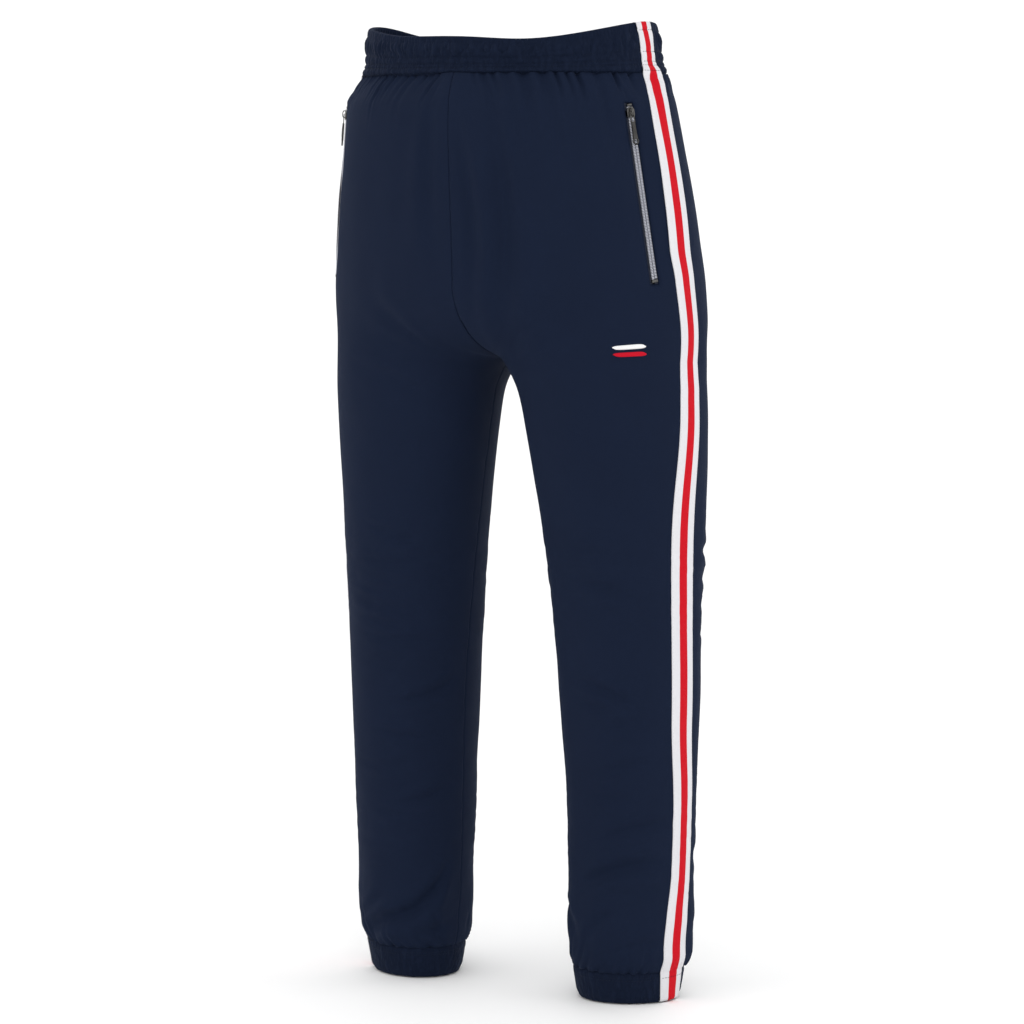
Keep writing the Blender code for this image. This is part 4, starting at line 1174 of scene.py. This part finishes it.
lining_look, shade = new_look("navy pocket lining")
knit = knit_height(shade, 0.0008, 0.0007)
lining_tone = knit * 0.4 + shade.noise(0.03, 3.0, 0.55) * 0.6
lining_tone = lining_tone.mixed((0.0070, 0.0115, 0.0280, 1.0), (0.0120, 0.0185, 0.0420, 1.0))
set_look(lining_look, lining_tone, 0.62 + knit * 0.12, knit, 0.0001, Sheen_Weight=0.2)
bag_overlap, bag_rear, bag_width = 0.012, 0.028, 0.122
bag_start, bag_room, bag_thick, bag_points, crumple = 0.0072, 0.0160, 0.0006, 45, 0.0012
bag_steps = np.linspace(0.0, 1.0, bag_points)
bag_stations = zip_bottom - bag_overlap + (zip_top - zip_bottom + 2 * bag_overlap) * bag_steps
bag_aheads = np.tile(bag_rear + bag_width * bag_steps, (bag_points, 1))

for side, suffix in left_and_right:
    grid, normal = surface(bag_stations, bag_aheads)
    stations = np.repeat(bag_stations[:, None], bag_points, axis=1)
    room = np.minimum(1.0, 3.2 * bag_steps)[:, None] * np.minimum(1.0, 3.2 * (1 - bag_steps))[None, :]
    room = room * room * (3 - 2 * room)
    crumples = crumple * patchy(bag_aheads / 0.022, stations / 0.030, 900 + side) * room
    depth = -bag_start - 0.0013 * (1 - ramp(np.abs(bag_aheads - zip_line(stations)), 0.007, 0.016))
    layers = {
        "outer": depth - 0.0004 * np.abs(crumples) / crumple,
        "inner": depth - bag_thick - 0.0003 - bag_room * room + crumples,
    }
    for name, lift in layers.items():
        points, faces = grid + normal * lift[:, :, None], grid_faces(bag_points, bag_points)
        uv = np.stack([bag_aheads, stations], axis=-1)
        bag = mesh_piece(f"pocket_lining_{name}_{suffix}", points, faces, lining_look, uv, side)
        fitted(thicken(bag, bag_thick), "garment", f"pocket_bag_{name}_{suffix}")

# ---- Thigh mark ----
# Two plain bars of satin stitch on the wearer's left thigh, white over red, worked in close slanting threads.

mark_height, mark_ahead, mark_length = crotch + 0.016, 0.079, 0.034
mark_bar, mark_spacing, mark_crown, thread_pitch = 0.0055, 0.0085, 0.00115, 0.0006
red_thread = thread_look("red thread", (0.40, 0.0015, 0.012, 1.0), (0.54, 0.0040, 0.020, 1.0))
ends = np.linspace(-1.0, 1.0, 241)
half = mark_bar / 2 * np.sqrt(1 - 0.88 * ends**6)
levels = np.linspace(-1.0, 1.0, 11)

for name, rise, look, slot in (
    ("upper", mark_spacing / 2, white_thread, "thread_white"),
    ("lower", -mark_spacing / 2, red_thread, "thread_red"),
):
    aheads = mark_ahead + ends * mark_length / 2
    rows = []
    for level in levels:
        stations = mark_height + rise + level * half
        leaning = aheads + 0.0010 * level
        rows.append([on_cloth(s, a) for s, a in zip(stations, leaning)])
    stations, across = mark_height + rise + np.outer(levels, half), np.tile(aheads, (len(levels), 1))
    normal = surface([mark_height - 0.01, mark_height + 0.01], [aheads, aheads])[1][:1]
    threads = 0.00010 * np.cos(2 * np.pi * aheads / thread_pitch)[None, :]
    crown = mark_crown * np.sqrt(np.clip(1 - levels**2, 0.0, 1.0))[:, None]
    lift = folds(1, stations, across) + 0.0001 + crown + threads * (1 - levels[:, None] ** 4)
    points = np.array(rows) + normal * lift[:, :, None]
    mark = mesh_piece(f"mark_{name}_threads", points, grid_faces(len(levels), len(ends)), look)
    fitted(thicken(mark, 0.0004), "garment", f"mark_bar_{name}")

# ---- Stage ----
# A pale seamless studio sweep under and behind the garment, lit softly and almost evenly from the front.

studio = grained("pale studio floor", grey(0.94), grey(0.96), (0.35, 2.0, 0.5), (0.65, 0.1), 0.0)
floor_level = -outseam - 0.0012
floor_back, bend, wall_top = 5.0, 1.6, 7.0
turn = np.linspace(0.0, np.pi / 2, 14)
profile = [(floor_back + bend * np.sin(t), bend * (1 - np.cos(t))) for t in turn]
profile = [(-7.0, 0.0), *profile, (floor_back + bend, wall_top)]
across = np.linspace(-9.0, 9.0, 13)
points = np.array([[(x, y, floor_level + z) for x in across] for y, z in profile])
turned = np.radians(30.0)
spun = points.copy()
spun[:, :, 0] = points[:, :, 0] * np.cos(turned) - points[:, :, 1] * np.sin(turned)
spun[:, :, 1] = points[:, :, 0] * np.sin(turned) + points[:, :, 1] * np.cos(turned)
floor = mesh_piece("studio_floor", spun, grid_faces(len(profile), len(across)), studio)


def soft_light(name, place, target, size, power):
    data = bpy.data.lights.new(name, "AREA")
    data.shape = "DISK"
    data.size = size
    data.energy = power
    lamp = bpy.data.objects.new(name, data)
    lamp.location = place
    lamp.rotation_euler = (Vector(target) - Vector(place)).to_track_quat("-Z", "Y").to_euler()
    bpy.context.scene.collection.objects.link(lamp)


middle_of_garment = (0.0, 0.0, -0.5)
soft_light("front_light", (2.3, -3.4, 1.2), middle_of_garment, 2.4, 34.0)
soft_light("right_light", (3.6, 0.4, 0.3), middle_of_garment, 2.0, 16.0)
soft_light("left_light", (-2.6, -2.6, 0.6), middle_of_garment, 2.2, 12.0)
world = bpy.data.worlds.new("soft white room")
world.use_nodes = True
world.node_tree.nodes["Background"].inputs["Color"].default_value = (1.0, 1.0, 1.0, 1.0)
world.node_tree.nodes["Background"].inputs["Strength"].default_value = 1.12
bpy.context.scene.world = world
bpy.context.scene.view_settings.view_transform = "Standard"

looks_at = Vector((0.0, 0.0, -0.512))
camera_data = bpy.data.cameras.new("camera")
camera_data.lens = 126.8
camera_data.sensor_width = 36.0
camera = bpy.data.objects.new("camera", camera_data)
camera.location = (1.9, -3.291, -0.15)
camera.rotation_euler = (looks_at - camera.location).to_track_quat("-Z", "Y").to_euler()
bpy.context.scene.collection.objects.link(camera)
bpy.context.scene.camera = camera
